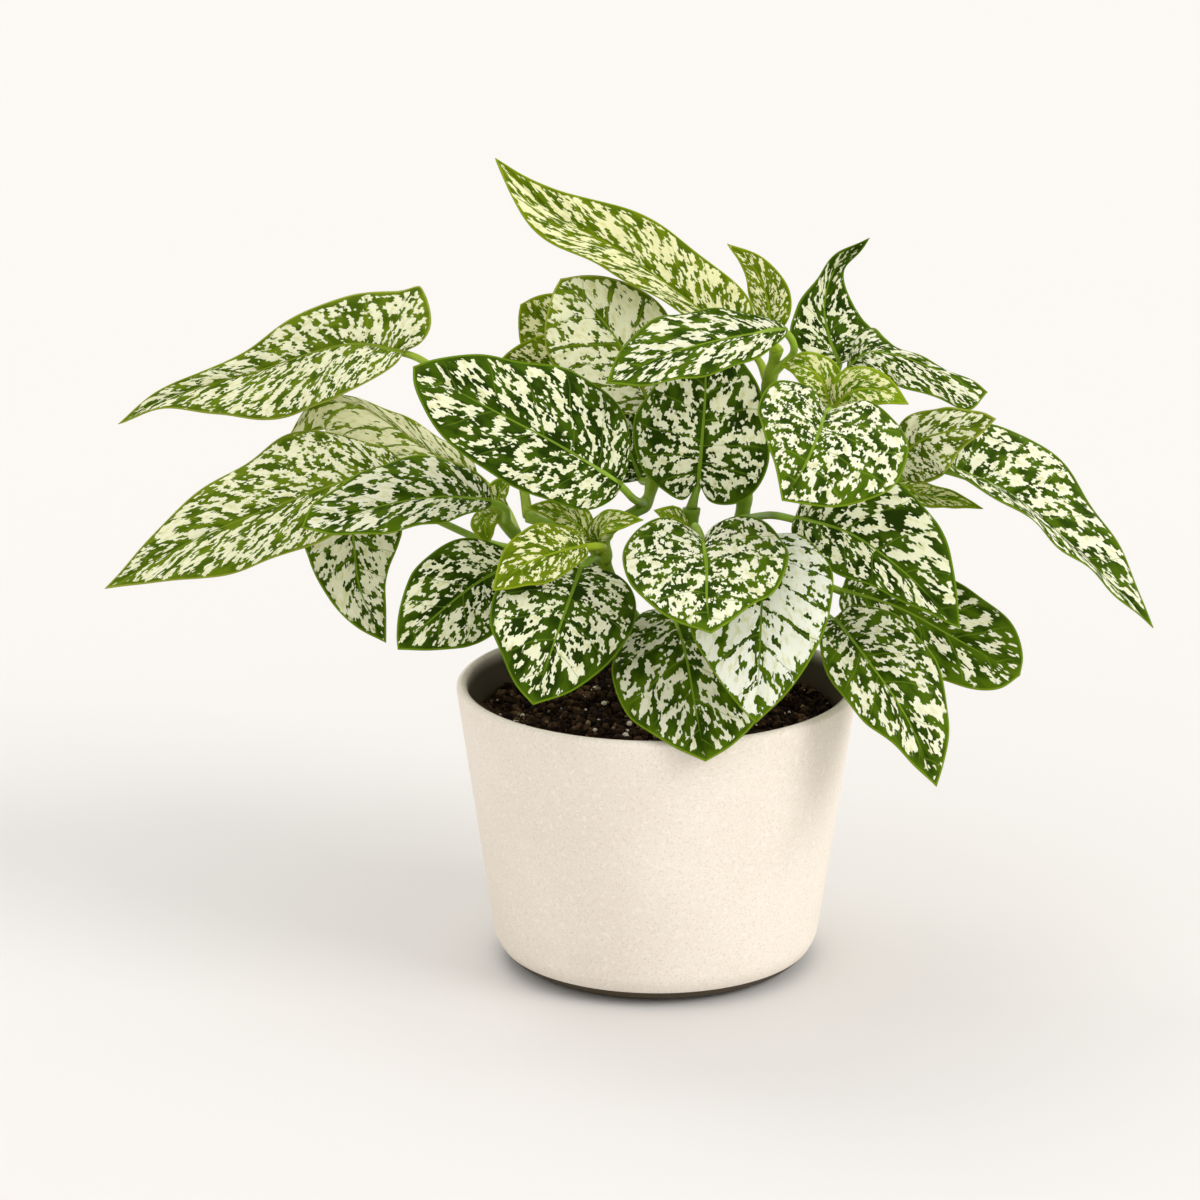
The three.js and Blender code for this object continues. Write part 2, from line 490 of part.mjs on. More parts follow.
function soilBody() {
  const outset = -WALL - SEAT_GAP;
  const side = roundedTurn(POT_FLOOR + SEAT_GAP, INNER_ROUNDING, outset);
  const edge = wallRadius(SOIL_LEVEL) + outset;
  const profile = [[0, POT_FLOOR + SEAT_GAP], ...side];
  for (let ring = SOIL_RINGS; ring > 0; ring -= 1) {
    profile.push([(edge * ring) / SOIL_RINGS, SOIL_LEVEL]);
  }
  profile.push([0, SOIL_LEVEL]);
  return turned(profile, POT_SIDES, (x, y, height) => (height === SOIL_LEVEL ? soilLump(x, y) : 0));
}

// A closed tube along a curve, with a radius that eases from one end to the other. extra makes it
// thicker, and longer at both ends.
function tube(curve, radii, sides, step, extra = 0) {
  const rings = Math.max(2, Math.round(curve.getLength() / step));
  const frames = curve.computeFrenetFrames(rings, false);
  const points = [];
  const middles = [];
  for (let i = 0; i <= rings; i += 1) {
    const share = i / rings;
    const centre = curve.getPointAt(share);
    if (i === 0 || i === rings) {
      centre.addScaledVector(curve.getTangentAt(share), i === 0 ? -extra : extra);
    }
    const radius = radii[0] + (radii[1] - radii[0]) * share + extra;
    middles.push(centre);
    for (let k = 0; k < sides; k += 1) {
      const angle = (2 * Math.PI * k) / sides;
      const out = frames.normals[i].clone().multiplyScalar(Math.cos(angle));
      out.addScaledVector(frames.binormals[i], Math.sin(angle));
      points.push(centre.clone().addScaledVector(out, radius));
    }
  }
  const foot = points.push(middles[0]) - 1;
  const end = points.push(middles[rings]) - 1;
  const faces = [];
  for (let k = 0; k < sides; k += 1) {
    const next = (k + 1) % sides;
    faces.push([foot, next, k]);
    for (let i = 0; i < rings; i += 1) {
      const a = i * sides + k;
      const b = i * sides + next;
      faces.push([a, b, b + sides], [a, b + sides, a + sides]);
    }
    faces.push([rings * sides + k, rings * sides + next, end]);
  }
  return solid(points, faces);
}

// The value at a share of the way through a list of evenly spread vectors.
function blend(list, share) {
  if (list.length === 1) {
    return vector(list[0]);
  }
  const place = THREE.MathUtils.clamp(share, 0, 1) * (list.length - 1);
  const k = Math.min(Math.floor(place), list.length - 2);
  return vector(list[k]).lerp(vector(list[k + 1]), place - k);
}

// The rib as a curve that can be read past its ends, where it runs on straight.
function ribOf(points) {
  const curve = new THREE.CatmullRomCurve3(points.map(vector), false, 'centripetal');
  const length = curve.getLength();
  return {
    length,
    at(share) {
      const inside = THREE.MathUtils.clamp(share, 0, 1);
      const point = curve.getPointAt(inside);
      return point.addScaledVector(curve.getTangentAt(inside), (share - inside) * length);
    },
    tangent: (share) => curve.getTangentAt(THREE.MathUtils.clamp(share, 0, 1)),
  };
}

// One half of the outline as a curve through its points, from the foot to the tip.
function outlineOf(points, length) {
  const whole = [[0, 0], ...points, [1, 0]];
  const along = whole.map(([share, across]) => new THREE.Vector3(share * length, across, 0));
  const curve = new THREE.CatmullRomCurve3(along, false, 'centripetal');
  return (share) => {
    const point = curve.getPointAt(share);
    return [point.x / length, Math.max(point.y, 0)];
  };
}

// A blade's upper point and the way its face looks there: share along the rib, distance across,
// side -1 for the left half and 1 for the right.
function bladePoint(leaf, rib, share, across, side) {
  const tangent = rib.tangent(share);
  const face = blend(leaf.face, share);
  const up = face.addScaledVector(tangent, -face.dot(tangent)).normalize();
  const out = new THREE.Vector3().crossVectors(tangent, up).multiplyScalar(side);
  const half = side < 0 ? 0 : 1;
  const fold = THREE.MathUtils.degToRad(leaf.fold[half]);
  const bend = THREE.MathUtils.degToRad(leaf.curl[half]) / leaf.width[half];
  const slope = fold + bend * across;
  const point = rib.at(share);
  point.addScaledVector(out, (Math.sin(slope) - Math.sin(fold)) / bend);
  point.addScaledVector(up, (Math.cos(fold) - Math.cos(slope)) / bend);
  const normal = up.clone().multiplyScalar(Math.cos(slope)).addScaledVector(out, -Math.sin(slope));
  return { point, normal };
}

// The blade as a thin closed sheet: a row of points across it at each step, and one at each end.
function bladeBody(leaf, steps, halfSteps) {
  const rib = ribOf(leaf.rib);
  const outlines = [outlineOf(leaf.left, rib.length), outlineOf(leaf.right, rib.length)];
  const columns = 2 * halfSteps + 1;
  const upper = [];
  const lower = [];
  const add = ({ point, normal }) => {
    upper.push(point);
    lower.push(point.clone().addScaledVector(normal, -BLADE_THICKNESS));
  };
  add(bladePoint(leaf, rib, 0, 0, 1));
  for (let i = 1; i < steps; i += 1) {
    const step = i / steps;
    const onRib = step ** FOOT_CROWDING;
    for (let j = -halfSteps; j <= halfSteps; j += 1) {
      const side = j < 0 ? -1 : 1;
      const reach = Math.abs(j) / halfSteps;
      const [share, across] = outlines[j < 0 ? 0 : 1](step);
      add(bladePoint(leaf, rib, onRib + (share - onRib) * reach, across * reach, side));
    }
  }
  add(bladePoint(leaf, rib, 1, 0, 1));
  const tip = upper.length - 1;
  const at = (row, column) => 1 + (row - 1) * columns + column;
  const top = [];
  for (let j = 0; j < columns - 1; j += 1) {
    top.push([0, at(1, j + 1), at(1, j)]);
    top.push([tip, at(steps - 1, j), at(steps - 1, j + 1)]);
    for (let i = 1; i < steps - 1; i += 1) {
      top.push([at(i, j), at(i, j + 1), at(i + 1, j + 1)], [at(i, j), at(i + 1, j + 1), at(i + 1, j)]);
    }
  }
  const edge = [0];
  for (let i = 1; i < steps; i += 1) {
    edge.push(at(i, columns - 1));
  }
  edge.push(tip);
  for (let i = steps - 1; i > 0; i -= 1) {
    edge.push(at(i, 0));
  }
  const below = upper.length;
  const faces = top.concat(top.map(([a, b, c]) => [a + below, c + below, b + below]));
  edge.forEach((a, k) => {
    const b = edge[(k + 1) % edge.length];
    faces.push([a, a + below, b + below], [a, b + below, b]);
  });
  return solid(upper.concat(lower), faces);
}

function youngLeaf({ rib, half, face }) {
  const outline = YOUNG_OUTLINE.map(([share, across]) => [share, across * half]);
  const sides = { left: outline, right: outline, width: [half, half] };
  const bends = { fold: [YOUNG_FOLD, YOUNG_FOLD], curl: [YOUNG_CURL, YOUNG_CURL] };
  const leaf = { rib, ...sides, ...bends, face: [face] };
  return bladeBody(leaf, YOUNG_STEPS, 1);
}

// The stalk and the raised rib under the blade, as one tapering tube.
function stalkBody(leaf) {
  const rib = ribOf(leaf.rib);
  const path = leaf.stalk.map(vector);
  for (const share of [RIB_START, RIB_REACH / 2, RIB_REACH]) {
    const { point, normal } = bladePoint(leaf, rib, share, 0, 1);
    path.push(point.addScaledVector(normal, -RIB_DROP));
  }
  const curve = new THREE.CatmullRomCurve3(path, false, 'centripetal');
  return tube(curve, [STALK_RADIUS, RIB_END_RADIUS], STALK_SIDES, STALK_STEP);
}

function stemBody({ runs }, extra) {
  return runs.map(({ radii, path }) => {
    const curve = new THREE.CatmullRomCurve3(path.map(vector), false, 'centripetal');
    return tube(curve, radii, STEM_SIDES, STEM_STEP, extra);
  }).reduce((whole, run) => whole.add(run));
}

// A cut can leave a loose scrap where a stalk starts inside its stem; only the leaf itself is kept.
function largestBit(body) {
  return body.decompose().reduce((best, bit) => (bit.volume() > best.volume() ? bit : best));
}

const plant = new THREE.Group();
plant.add(meshOf('pot', potBody(), POT_CREAM, POT_ROUGHNESS));

let soil = soilBody();
const sleeves = {};
for (const [name, stem] of Object.entries(STEMS)) {
  sleeves[name] = stemBody(stem, SEAT_GAP);
  soil = soil.subtract(sleeves[name]);
  const body = stem.young.map(youngLeaf).reduce((whole, leaf) => whole.add(leaf), stemBody(stem, 0));
  plant.add(meshOf(name, body, STEM_GREEN, PLANT_ROUGHNESS));
}
plant.add(meshOf('soil', soil, SOIL_BROWN, SOIL_ROUGHNESS));

for (const [name, leaf] of Object.entries(LEAVES)) {
  leaf.width = [leaf.left, leaf.right].map((half) => Math.max(...half.map(([, across]) => across)));
  const steps = name.startsWith('leaf_rear') ? REAR_STEPS : BLADE_STEPS;
  const whole = bladeBody(leaf, steps, HALF_STEPS).add(stalkBody(leaf));
  const body = largestBit(whole.subtract(sleeves[leaf.stem]));
  plant.add(meshOf(name, body, leaf.colour, PLANT_ROUGHNESS));
}

export default plant;
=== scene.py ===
"""Looks of the potted polka dot plant: fine leaves, stems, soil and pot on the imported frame."""
import math
import random
import statistics
from types import SimpleNamespace

import bpy
import numpy as np
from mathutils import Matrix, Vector


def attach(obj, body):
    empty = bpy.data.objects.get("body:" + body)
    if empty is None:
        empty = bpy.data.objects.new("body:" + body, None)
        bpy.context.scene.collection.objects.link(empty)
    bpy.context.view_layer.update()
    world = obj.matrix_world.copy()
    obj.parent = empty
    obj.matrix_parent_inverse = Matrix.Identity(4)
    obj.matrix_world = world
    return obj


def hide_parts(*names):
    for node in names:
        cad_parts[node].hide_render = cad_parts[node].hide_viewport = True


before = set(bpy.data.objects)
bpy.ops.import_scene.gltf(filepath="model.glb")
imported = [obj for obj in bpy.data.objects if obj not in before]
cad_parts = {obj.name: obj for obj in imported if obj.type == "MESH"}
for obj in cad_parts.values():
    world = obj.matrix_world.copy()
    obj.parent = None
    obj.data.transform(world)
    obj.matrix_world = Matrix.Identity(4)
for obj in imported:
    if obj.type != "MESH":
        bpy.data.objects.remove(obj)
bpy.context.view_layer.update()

MM = 0.001

# Camera, as the photograph was taken
CAMERA_PLACE = (0.0, -1.233, 0.4725)
CAMERA_AIM = (-0.017, 0.0, 0.1115)
CAMERA_LENS = 129.36

# Pot and soil, as in the CAD
POT_HEIGHT = 86.5
RIM_RADIUS = 60.0
WALL_TAPER = 0.139
WALL = 3.2
POT_FLOOR = 4.0
FOOT_ROUNDING = 12.0
INNER_ROUNDING = 9.0
SOIL_LEVEL = 75.0
SOIL_LUMP = 1.1
BROAD_SHARE = 0.6  # of that height, in the wide lumps
SEAT_GAP = 0.35

# How finely they are turned
POT_SIDES = 144
ROUNDING_STEPS = 10
FOOT_STEPS = 14
LIP_STEPS = 12
SOIL_SIDES = 96
SOIL_RINGS = 16

# Looks of the pot. Inside the wall, a dark brown that is partly soil staining and partly painted shade
# under the leaves starts just above the rim, is whole a little below it and has an uneven border, in mm.
POT_DIM = (0.810, 0.735, 0.640)
POT_LIGHT = (0.870, 0.800, 0.710)
POT_DARK_SPECKS = (0.60, 0.50, 0.39)
POT_PALE_SPECKS = (0.95, 0.90, 0.83)
POT_STAIN_AND_SHADE = (0.045, 0.029, 0.008)
STAIN_AND_SHADE_TOP = 2.0
STAIN_AND_SHADE_FULL = 4.5
STAIN_AND_SHADE_WAVE = 6
STAIN_AND_SHADE_DEPTH = 0.97

# Loose grains on the soil, as ranges to draw from
SOIL_SEED = 7
GROUND_DROP = 0.5
GRAIN_WIDE = (0.75, 1.25)
GRAIN_TALL = (0.7, 1.1)
GRAIN_ROUGH = (0.82, 1.15)
GRAIN_TILT = 0.6

# Stalks and stems, as in the CAD
STALK_RADIUS = 1.15
ROOT_END = 58

# Their finer forms: a stem swells at its joints, and a stalk is thicker at its foot
STEM_SIDES = 14
STEM_STEP = 1.5
JOINT_NEAR = 3
SWELL = 0.35
SWELL_REACH = 2.6
STALK_SIDES = 10
STALK_STEP = 1.6
STALK_PLACES = 12
STALK_FLARE = 1.5
FLARE_SHARE = 0.15
RIB_DROP = 0.35
RIB_TIP_RADIUS = 0.25
RIB_REACH = 0.86
RIB_SPOTS = (0.02, 0.25, 0.5, 0.7, RIB_REACH)
ASKEW = (0.3, 0.5, 0.81)  # a direction that no stem or stalk starts in
STEM_DEEP = (0.120, 0.215, 0.006)
STEM_LIGHT = (0.270, 0.390, 0.022)
STEM_SEED = 5
FIRST_YOUNG_SEED = 60
YOUNG_SEED_STEP = 9

# Blades, in mm: each is puffed between its veins, sunk along its rib and rippled at its edge, less so
# where it is narrower than the half width of whole relief
BLADE_STEPS = 72
HALF_STEPS = 16
BLADE_THICKNESS = 0.5
EDGE_THICKNESS = 0.28
EDGE_TAPER = 5
VEIN_SLANT = 0.9
WHOLE_RELIEF_HALF = 16
LEAST_RELIEF = 0.35
PUFF = 0.55
PUFF_FROM_RIB = 3
PUFF_FROM_EDGE = 4
UNDER_PUFF = 0.7  # share of the puff that the lower face follows
GROOVE = 0.30
GROOVE_WIDTH = 1.1
RIPPLE = 0.9
RIPPLES = 3.5
RIPPLE_SHIFT = 0.3
FULL_PHASE = 6.28
LEAF_SEED = 21

# Floor and light
FLOOR_REACH = 6000.0
FLOOR_DIM = (0.684, 0.668, 0.654)
FLOOR_LIGHT = (0.694, 0.680, 0.668)
WORLD_COLOUR = (1.0, 0.985, 0.965)
WORLD_STRENGTH = 1.04

# Each leaf as in the CAD: fold and curl of its left and right half in degrees, the stalk from the stem
# to the blade, the rib from the foot of the blade to its tip, the outline of each half as (share of the
# rib, distance across), and face as the way the upper side looks. Its look is its colours, the share
# of it that is splashed white, and how clearly the splashes leave the side veins green.
LEAVES = {
    "leaf_left_upper_long": {
        "look": ("pale", 0.56, 0.08), "fold": (6, 22), "curl": (-10, -10),
        "stalk": [(-38, -8, 139.5), (-41, 2, 149), (-55, 14, 166), (-69, 20, 179)],
        "rib": [(-76, 22, 182), (-92, 32, 182), (-125, 48, 169), (-152, 56, 159), (-167, 60, 150)],
        "left": [(0, 5), (0.1, 18), (0.34, 20), (0.49, 18.5), (0.65, 12), (0.83, 4)],
        "right": [(-0.05, 4), (-0.06, 10), (0.02, 21), (0.09, 18), (0.21, 15.5), (0.36, 12.5),
                  (0.55, 7.5), (0.7, 4.5), (0.87, 3)],
        "face": [(0.15, -0.75, 0.65), (0, -0.7, 0.7), (-0.1, -0.6, 0.8)],
    },
    "leaf_left_lower_long": {
        "look": ("pale", 0.52, 0.08), "fold": (5, 12), "curl": (-10, -20),
        "stalk": [(-48, 4, 138), (-58, 9, 147)],
        "rib": [(-76, 10, 149.5), (-91, 12, 145.5), (-107, 15, 139), (-138, 20, 125),
                (-168, 24, 107.5)],
        "left": [(0.03, 7), (0.2, 16), (0.5, 18), (0.68, 15), (0.85, 7)],
        "right": [(0.02, 5), (0.12, 12), (0.24, 20), (0.35, 22.5), (0.48, 19), (0.63, 15), (0.78, 10),
                  (0.92, 3)],
        "face": [(0, -0.7, 0.7), (-0.2, -0.6, 0.8)],
    },
    "leaf_left_front": {
        "look": ("green", 0.56, 0.06), "fold": (10, 14), "curl": (-10, -20),
        "stalk": [(-45, 2.5, 135), (-45, -5, 141)],
        "rib": [(-48.5, -12, 145.5), (-63, -18, 148), (-76, -23, 147.5), (-89, -27, 145),
                (-103, -31, 142)],
        "left": [(0.02, 3), (0.11, 6), (0.33, 10.5), (0.55, 11), (0.82, 7.5)],
        "right": [(0.02, 6), (0.12, 11.5), (0.3, 15), (0.49, 15), (0.72, 11), (0.9, 7)],
        "face": [(0, -0.6, 0.8), (-0.1, -0.6, 0.8)],
    },
    "leaf_left_cream": {
        "look": ("cream", 0.88, 0.30), "fold": (5, 5), "curl": (-20, -20),
        "stalk": [(-42, 2, 131.5), (-45, 12, 136)],
        "rib": [(-53.7, 14, 146.5), (-67.8, 22, 151.2), (-80.2, 30, 157.5), (-91.6, 35, 162.5),
                (-103.1, 38, 162), (-112.2, 36, 152.1)],
        "left": [(0.08, 5), (0.22, 8), (0.37, 11), (0.58, 13), (0.85, 9)],
        "right": [(0.07, 4), (0.25, 6), (0.45, 4.5), (0.63, 2.5), (0.86, 1.5)],
        "face": [(0.2, -0.7, 0.6), (-0.2, -0.7, 0.6)],
    },
    "leaf_centre_left_large": {
        "look": ("dark", 0.37, 0.08), "fold": (6, 4), "curl": (-12, -12),
        "stalk": [(-4, -5, 142.5), (-7, -16, 147)],
        "rib": [(-10, -26, 154), (-28, -32, 167), (-48, -40, 180), (-69, -48, 194)],
        "left": [(0.02, 6), (0.1, 13), (0.3, 17), (0.52, 18), (0.7, 16), (0.86, 12), (0.97, 5)],
        "right": [(0.01, 6), (0.05, 14), (0.18, 22), (0.34, 23), (0.52, 19), (0.76, 13), (0.93, 5)],
        "face": [(0.1, -0.8, 0.6), (0.1, -0.85, 0.55)],
    },
    "leaf_left_low_dark": {
        "look": ("dark", 0.47, 0.06), "fold": (6, 6), "curl": (-15, -15),
        "stalk": [(-37, 1, 127), (-37, -10, 130)],
        "rib": [(-40, -22, 130), (-52, -28, 125), (-64, -35, 117), (-75, -40, 108)],
        "left": [(0.05, 6), (0.25, 13), (0.47, 15), (0.65, 13), (0.84, 7)],
        "right": [(0.05, 5), (0.2, 12), (0.38, 15), (0.6, 14), (0.8, 9), (0.95, 3)],
        "face": [(0.1, -0.9, 0.45)],
    },
    "leaf_left_hanging": {
        "look": ("green", 0.80, 0.10), "fold": (10, 4), "curl": (-10, -10),
        "stalk": [(-35, 1, 126), (-50, 14, 125), (-79, 26, 134)],
        "rib": [(-93, 28, 136), (-92, 26, 121), (-90, 22, 108), (-82, 16, 93)],
        "left": [(0.02, 8), (0.22, 15), (0.5, 10), (0.75, 6)],
        "right": [(0.02, 8), (0.17, 15), (0.4, 14), (0.61, 10), (0.85, 5)],
        "face": [(0.1, -1, 0.3)],
    },
    "leaf_lime_small": {
        "look": ("lime", 0.39, 0.06), "fold": (4, 10), "curl": (-15, -15),
        "stalk": [(-17, -13.5, 130), (-16, -25, 135)],
        "rib": [(-20, -34, 138), (-29, -42, 138), (-38, -48, 136), (-47, -54, 130)],
        "left": [(0.05, 3), (0.25, 6), (0.55, 8), (0.8, 5)],
        "right": [(0.05, 5), (0.25, 9), (0.46, 10), (0.7, 7), (0.92, 2)],
        "face": [(0, -0.8, 0.6)],
    },
    "leaf_front_left_round": {
        "look": ("dark", 0.40, 0.06), "fold": (4, 4), "curl": (-14, -14),
        "stalk": [(-17, -12.5, 127.5), (-19, -24, 131)],
        "rib": [(-22, -32, 131), (-26, -48, 123), (-30, -60, 114), (-35, -70, 101)],
        "left": [(-0.02, 10), (0.12, 18), (0.32, 20), (0.6, 17), (0.84, 10)],
        "right": [(0, 8), (0.15, 17), (0.4, 21), (0.62, 19), (0.78, 13), (0.93, 6)],
        "face": [(0.05, -0.85, 0.55), (0, -0.95, 0.3)],
    },
    "leaf_front_low": {
        "look": ("green", 0.38, 0.06), "fold": (4, 4), "curl": (-14, -10),
        "stalk": [(10, -8, 109), (7, -16, 116)],
        "rib": [(4, -26, 117), (8, -42, 109), (11, -54, 96), (14, -66, 83)],
        "left": [(0, 8), (0.14, 17), (0.35, 23), (0.6, 22), (0.8, 17), (0.93, 9)],
        "right": [(0, 8), (0.14, 15), (0.32, 21), (0.5, 22), (0.68, 19), (0.86, 10)],
        "face": [(0, -0.6, 0.75), (0, -0.9, 0.4)],
    },
    "leaf_front_white": {
        "look": ("icy", 0.89, 0.24), "fold": (4, 4), "curl": (-10, -14),
        "stalk": [(10, -8, 124), (22, -22, 136)],
        "rib": [(32, -32, 141), (30, -52, 128), (29, -66, 113), (28, -74, 97)],
        "left": [(0, 10), (0.14, 18), (0.3, 20), (0.56, 18), (0.84, 9)],
        "right": [(-0.02, 10), (0.12, 18), (0.34, 21), (0.57, 20), (0.75, 14), (0.91, 6)],
        "face": [(0, -0.75, 0.65), (0, -0.95, 0.3)],
    },
    "leaf_front_heart": {
        "look": ("green", 0.48, 0.06), "fold": (4, 4), "curl": (-16, -16),
        "stalk": [(10, -8, 133), (11, -24, 141)],
        "rib": [(13, -44, 143), (14, -56, 138), (14, -70, 132), (15, -82, 126)],
        "left": [(-0.14, 4), (-0.22, 10), (-0.14, 19), (0.1, 24), (0.38, 22), (0.62, 17), (0.86, 8)],
        "right": [(-0.16, 5), (-0.24, 11), (-0.16, 19), (0.05, 23), (0.35, 23), (0.6, 19), (0.86, 9)],
        "face": [(0, -0.5, 0.85), (0, -0.7, 0.7)],
    },
    "leaf_centre_back_round": {
        "look": ("dark", 0.49, 0.08), "fold": (6, 6), "curl": (-16, -16),
        "stalk": [(10, -8, 142), (11, -8, 146)],
        "rib": [(12, -8, 150), (13, -2, 161), (14, 6, 174), (14, 18, 190)],
        "left": [(-0.12, 4), (-0.06, 11), (0.06, 17), (0.22, 20), (0.42, 20), (0.65, 14), (0.86, 7)],
        "right": [(-0.12, 4), (-0.12, 11), (-0.02, 17), (0.15, 20), (0.4, 19), (0.65, 15), (0.86, 8)],
        "face": [(0, -0.9, 0.4)],
    },
    "leaf_back_white": {
        "look": ("pale", 0.86, 0.28), "fold": (6, 6), "curl": (-10, -10),
        "stalk": [(-2, 24, 163), (-1, 18, 166)],
        "rib": [(-2, 16, 167), (-12, 24, 185), (-21, 26, 196), (-29, 24, 204)],
        "left": [(0.02, 8), (0.2, 15), (0.42, 19), (0.66, 20), (0.88, 15), (0.98, 6)],
        "right": [(0.02, 8), (0.2, 15), (0.45, 17), (0.66, 14), (0.88, 6)],
        "face": [(0.1, -0.9, 0.4)],
    },
    "leaf_top_white": {
        "look": ("green", 0.50, 0.06), "fold": (10, 10), "curl": (-10, -20),
        "stalk": [(34, 13, 178), (40, 4, 187)],
        "rib": [(38, -2, 195), (19, -12, 194), (2, -20, 191), (-15, -26, 184)],
        "left": [(0.04, 3), (0.22, 9), (0.5, 12), (0.82, 8)],
        "right": [(0.04, 3), (0.18, 8), (0.38, 12), (0.62, 13), (0.84, 8)],
        "face": [(0.1, -0.6, 0.8)],
    },
    "leaf_top_long": {
        "look": ("lime", 0.57, 0.10), "fold": (34, 10), "curl": (-10, -10),
        "stalk": [(33, 15, 174), (30, 21, 180)],
        "rib": [(26, 24, 184), (9, 26, 197), (-11, 30, 211), (-32, 34, 222), (-49, 42, 237)],
        "left": [(0.03, 4), (0.22, 8), (0.44, 11), (0.62, 13), (0.74, 12), (0.86, 8), (0.95, 3)],
        "right": [(0.01, 6), (0.07, 12), (0.23, 14), (0.42, 14), (0.59, 12), (0.8, 6), (0.92, 2)],
        "face": [(0.3, -0.8, 0.5)],
    },
    "leaf_top_pointed": {
        "look": ("lime", 0.54, 0.12), "fold": (10, 10), "curl": (-10, -10),
        "stalk": [(35, 10, 186), (34, 7, 188)],
        "rib": [(33, 4, 191), (32, 4, 202), (28, 2, 212), (20, -2, 220)],
        "left": [(0.05, 2), (0.2, 4), (0.42, 5), (0.7, 3)],
        "right": [(0.05, 3), (0.18, 6), (0.36, 7), (0.66, 4)],
        "face": [(0, -0.9, 0.3)],
    },
    "leaf_right_top_curled": {
        "look": ("dark", 0.46, 0.06), "fold": (4, 10), "curl": (-10, -10),
        "stalk": [(53, 4, 175), (51, 12, 175)],
        "rib": [(54, 14, 180.5), (51, 20, 187), (49.5, 25, 196), (52.5, 28, 206), (62.5, 22, 217)],
        "left": [(0.03, 5), (0.16, 10), (0.26, 12), (0.4, 8.5), (0.57, 4), (0.78, 2.5)],
        "right": [(0.04, 8), (0.15, 14), (0.32, 11.5), (0.54, 6.5), (0.69, 2.5), (0.88, 1.5)],
        "face": [(0.3, -0.85, 0.3)],
    },
    "leaf_right_top_folded": {
        "look": ("green", 0.52, 0.06), "fold": (-14, -10), "curl": (-10, -10),
        "stalk": [(55, 9, 178), (57, 11, 180)],
        "rib": [(55.6, 10, 180.3), (61.7, 5, 186.3), (69.5, 2, 186.4), (81.2, 0, 182.4),
                (96.6, -3, 176.3)],
        "left": [(0.01, 7), (0.08, 12), (0.16, 13), (0.27, 7.5), (0.45, 3.5), (0.7, 2.5), (0.9, 2)],
        "right": [(0.1, 4.5), (0.36, 8), (0.52, 9.5), (0.74, 8), (0.94, 8)],
        "face": [(0.2, -0.6, 0.7)],
    },
    "leaf_right_heart": {
        "look": ("green", 0.45, 0.06), "fold": (4, 4), "curl": (-14, -14),
        "stalk": [(50, -3, 167), (50, -18, 174)],
        "rib": [(48, -32, 177), (45, -44, 172), (41, -54, 166), (35, -62, 159)],
        "left": [(-0.14, 4), (-0.3, 11), (-0.2, 21), (0.12, 26), (0.5, 25), (0.76, 16), (0.94, 5)],
        "right": [(-0.14, 3), (-0.26, 8), (-0.22, 15), (0.05, 19), (0.35, 17), (0.75, 8)],
        "face": [(0.1, -0.8, 0.6)],
    },
    "leaf_right_dark": {
        "look": ("dark", 0.48, 0.06), "fold": (6, 10), "curl": (-10, -10),
        "stalk": [(25, 16, 132), (30, 2, 137), (35, -12, 141)],
        "rib": [(40, -20, 143), (56, -28, 140), (71, -36, 131), (87, -46, 117)],
        "left": [(0, 10), (0.1, 19), (0.3, 22), (0.55, 19), (0.77, 11), (0.94, 3)],
        "right": [(0.03, 6), (0.14, 11), (0.31, 14), (0.5, 12), (0.7, 8), (0.9, 3)],
        "face": [(0.1, -0.75, 0.65)],
    },
    "leaf_right_long": {
        "look": ("green", 0.48, 0.06), "fold": (0, 38), "curl": (-10, -10),
        "stalk": [(71, 6, 148), (77, 5, 151)],
        "rib": [(85, 2, 153), (103, -2, 146), (126, -4, 127), (147, -8, 106)],
        "left": [(0.01, 14), (0.07, 22), (0.2, 25), (0.42, 23), (0.64, 16), (0.86, 7)],
        "right": [(0.05, 6), (0.23, 11), (0.45, 11), (0.68, 9), (0.88, 5)],
        "face": [(0.3, -0.6, 0.7), (0.5, -0.6, 0.6)],
    },
    "leaf_right_light": {
        "look": ("pale", 0.68, 0.12), "fold": (-10, -10), "curl": (-10, -10),
        "stalk": [(67, 6, 146), (68, 1, 151)],
        "rib": [(69, -4, 155), (78, -10, 164), (88, -14, 168), (98, -18, 172)],
        "left": [(0.04, 5), (0.2, 8), (0.4, 9), (0.66, 7), (0.9, 3)],
        "right": [(0.02, 8), (0.22, 12), (0.5, 11), (0.66, 6), (0.86, 3)],
        "face": [(0, -0.9, 0.5)],
    },
    "leaf_right_low_front": {
        "look": ("green", 0.42, 0.08), "fold": (4, 10), "curl": (-14, -10),
        "stalk": [(39, 5, 107), (44, -9, 113)],
        "rib": [(52, -22, 113), (61, -34, 104), (72, -44, 90), (81, -52, 71)],
        "left": [(-0.03, 8), (0.08, 17), (0.26, 20), (0.5, 18), (0.71, 13), (0.91, 5)],
        "right": [(0.02, 6), (0.14, 11), (0.35, 15), (0.58, 13), (0.82, 6)],
        "face": [(0.4, -0.8, 0.45)],
    },
    "leaf_right_low_back": {
        "look": ("green", 0.26, 0.08), "fold": (4, 4), "curl": (-10, -10),
        "stalk": [(39.5, 5, 109), (47, 6, 115)],
        "rib": [(55, 4, 114), (72, 2, 109), (90, -2, 100), (108, -8, 91)],
        "left": [(0.02, 7), (0.2, 14), (0.45, 16), (0.7, 16), (0.86, 12), (0.96, 6)],
        "right": [(0.02, 6), (0.2, 13), (0.45, 15), (0.68, 14), (0.82, 12), (0.95, 7)],
        "face": [(0.2, -0.8, 0.6)],
    },
    # Its dark greens and few splashes are partly its own colour and partly painted shade, deep among the
    # leaves
    "leaf_centre_shaded": {
        "look": ("dark", 0.14, 0.08), "fold": (6, 6), "curl": (-10, -10),
        "stalk": [(-2, 2, 147), (-3, 8, 146)],
        "rib": [(-5, 13, 145), (-9, 18, 154), (-13, 22, 163), (-17, 25, 172)],
        "left": [(0.05, 6), (0.3, 11), (0.6, 9), (0.85, 4)],
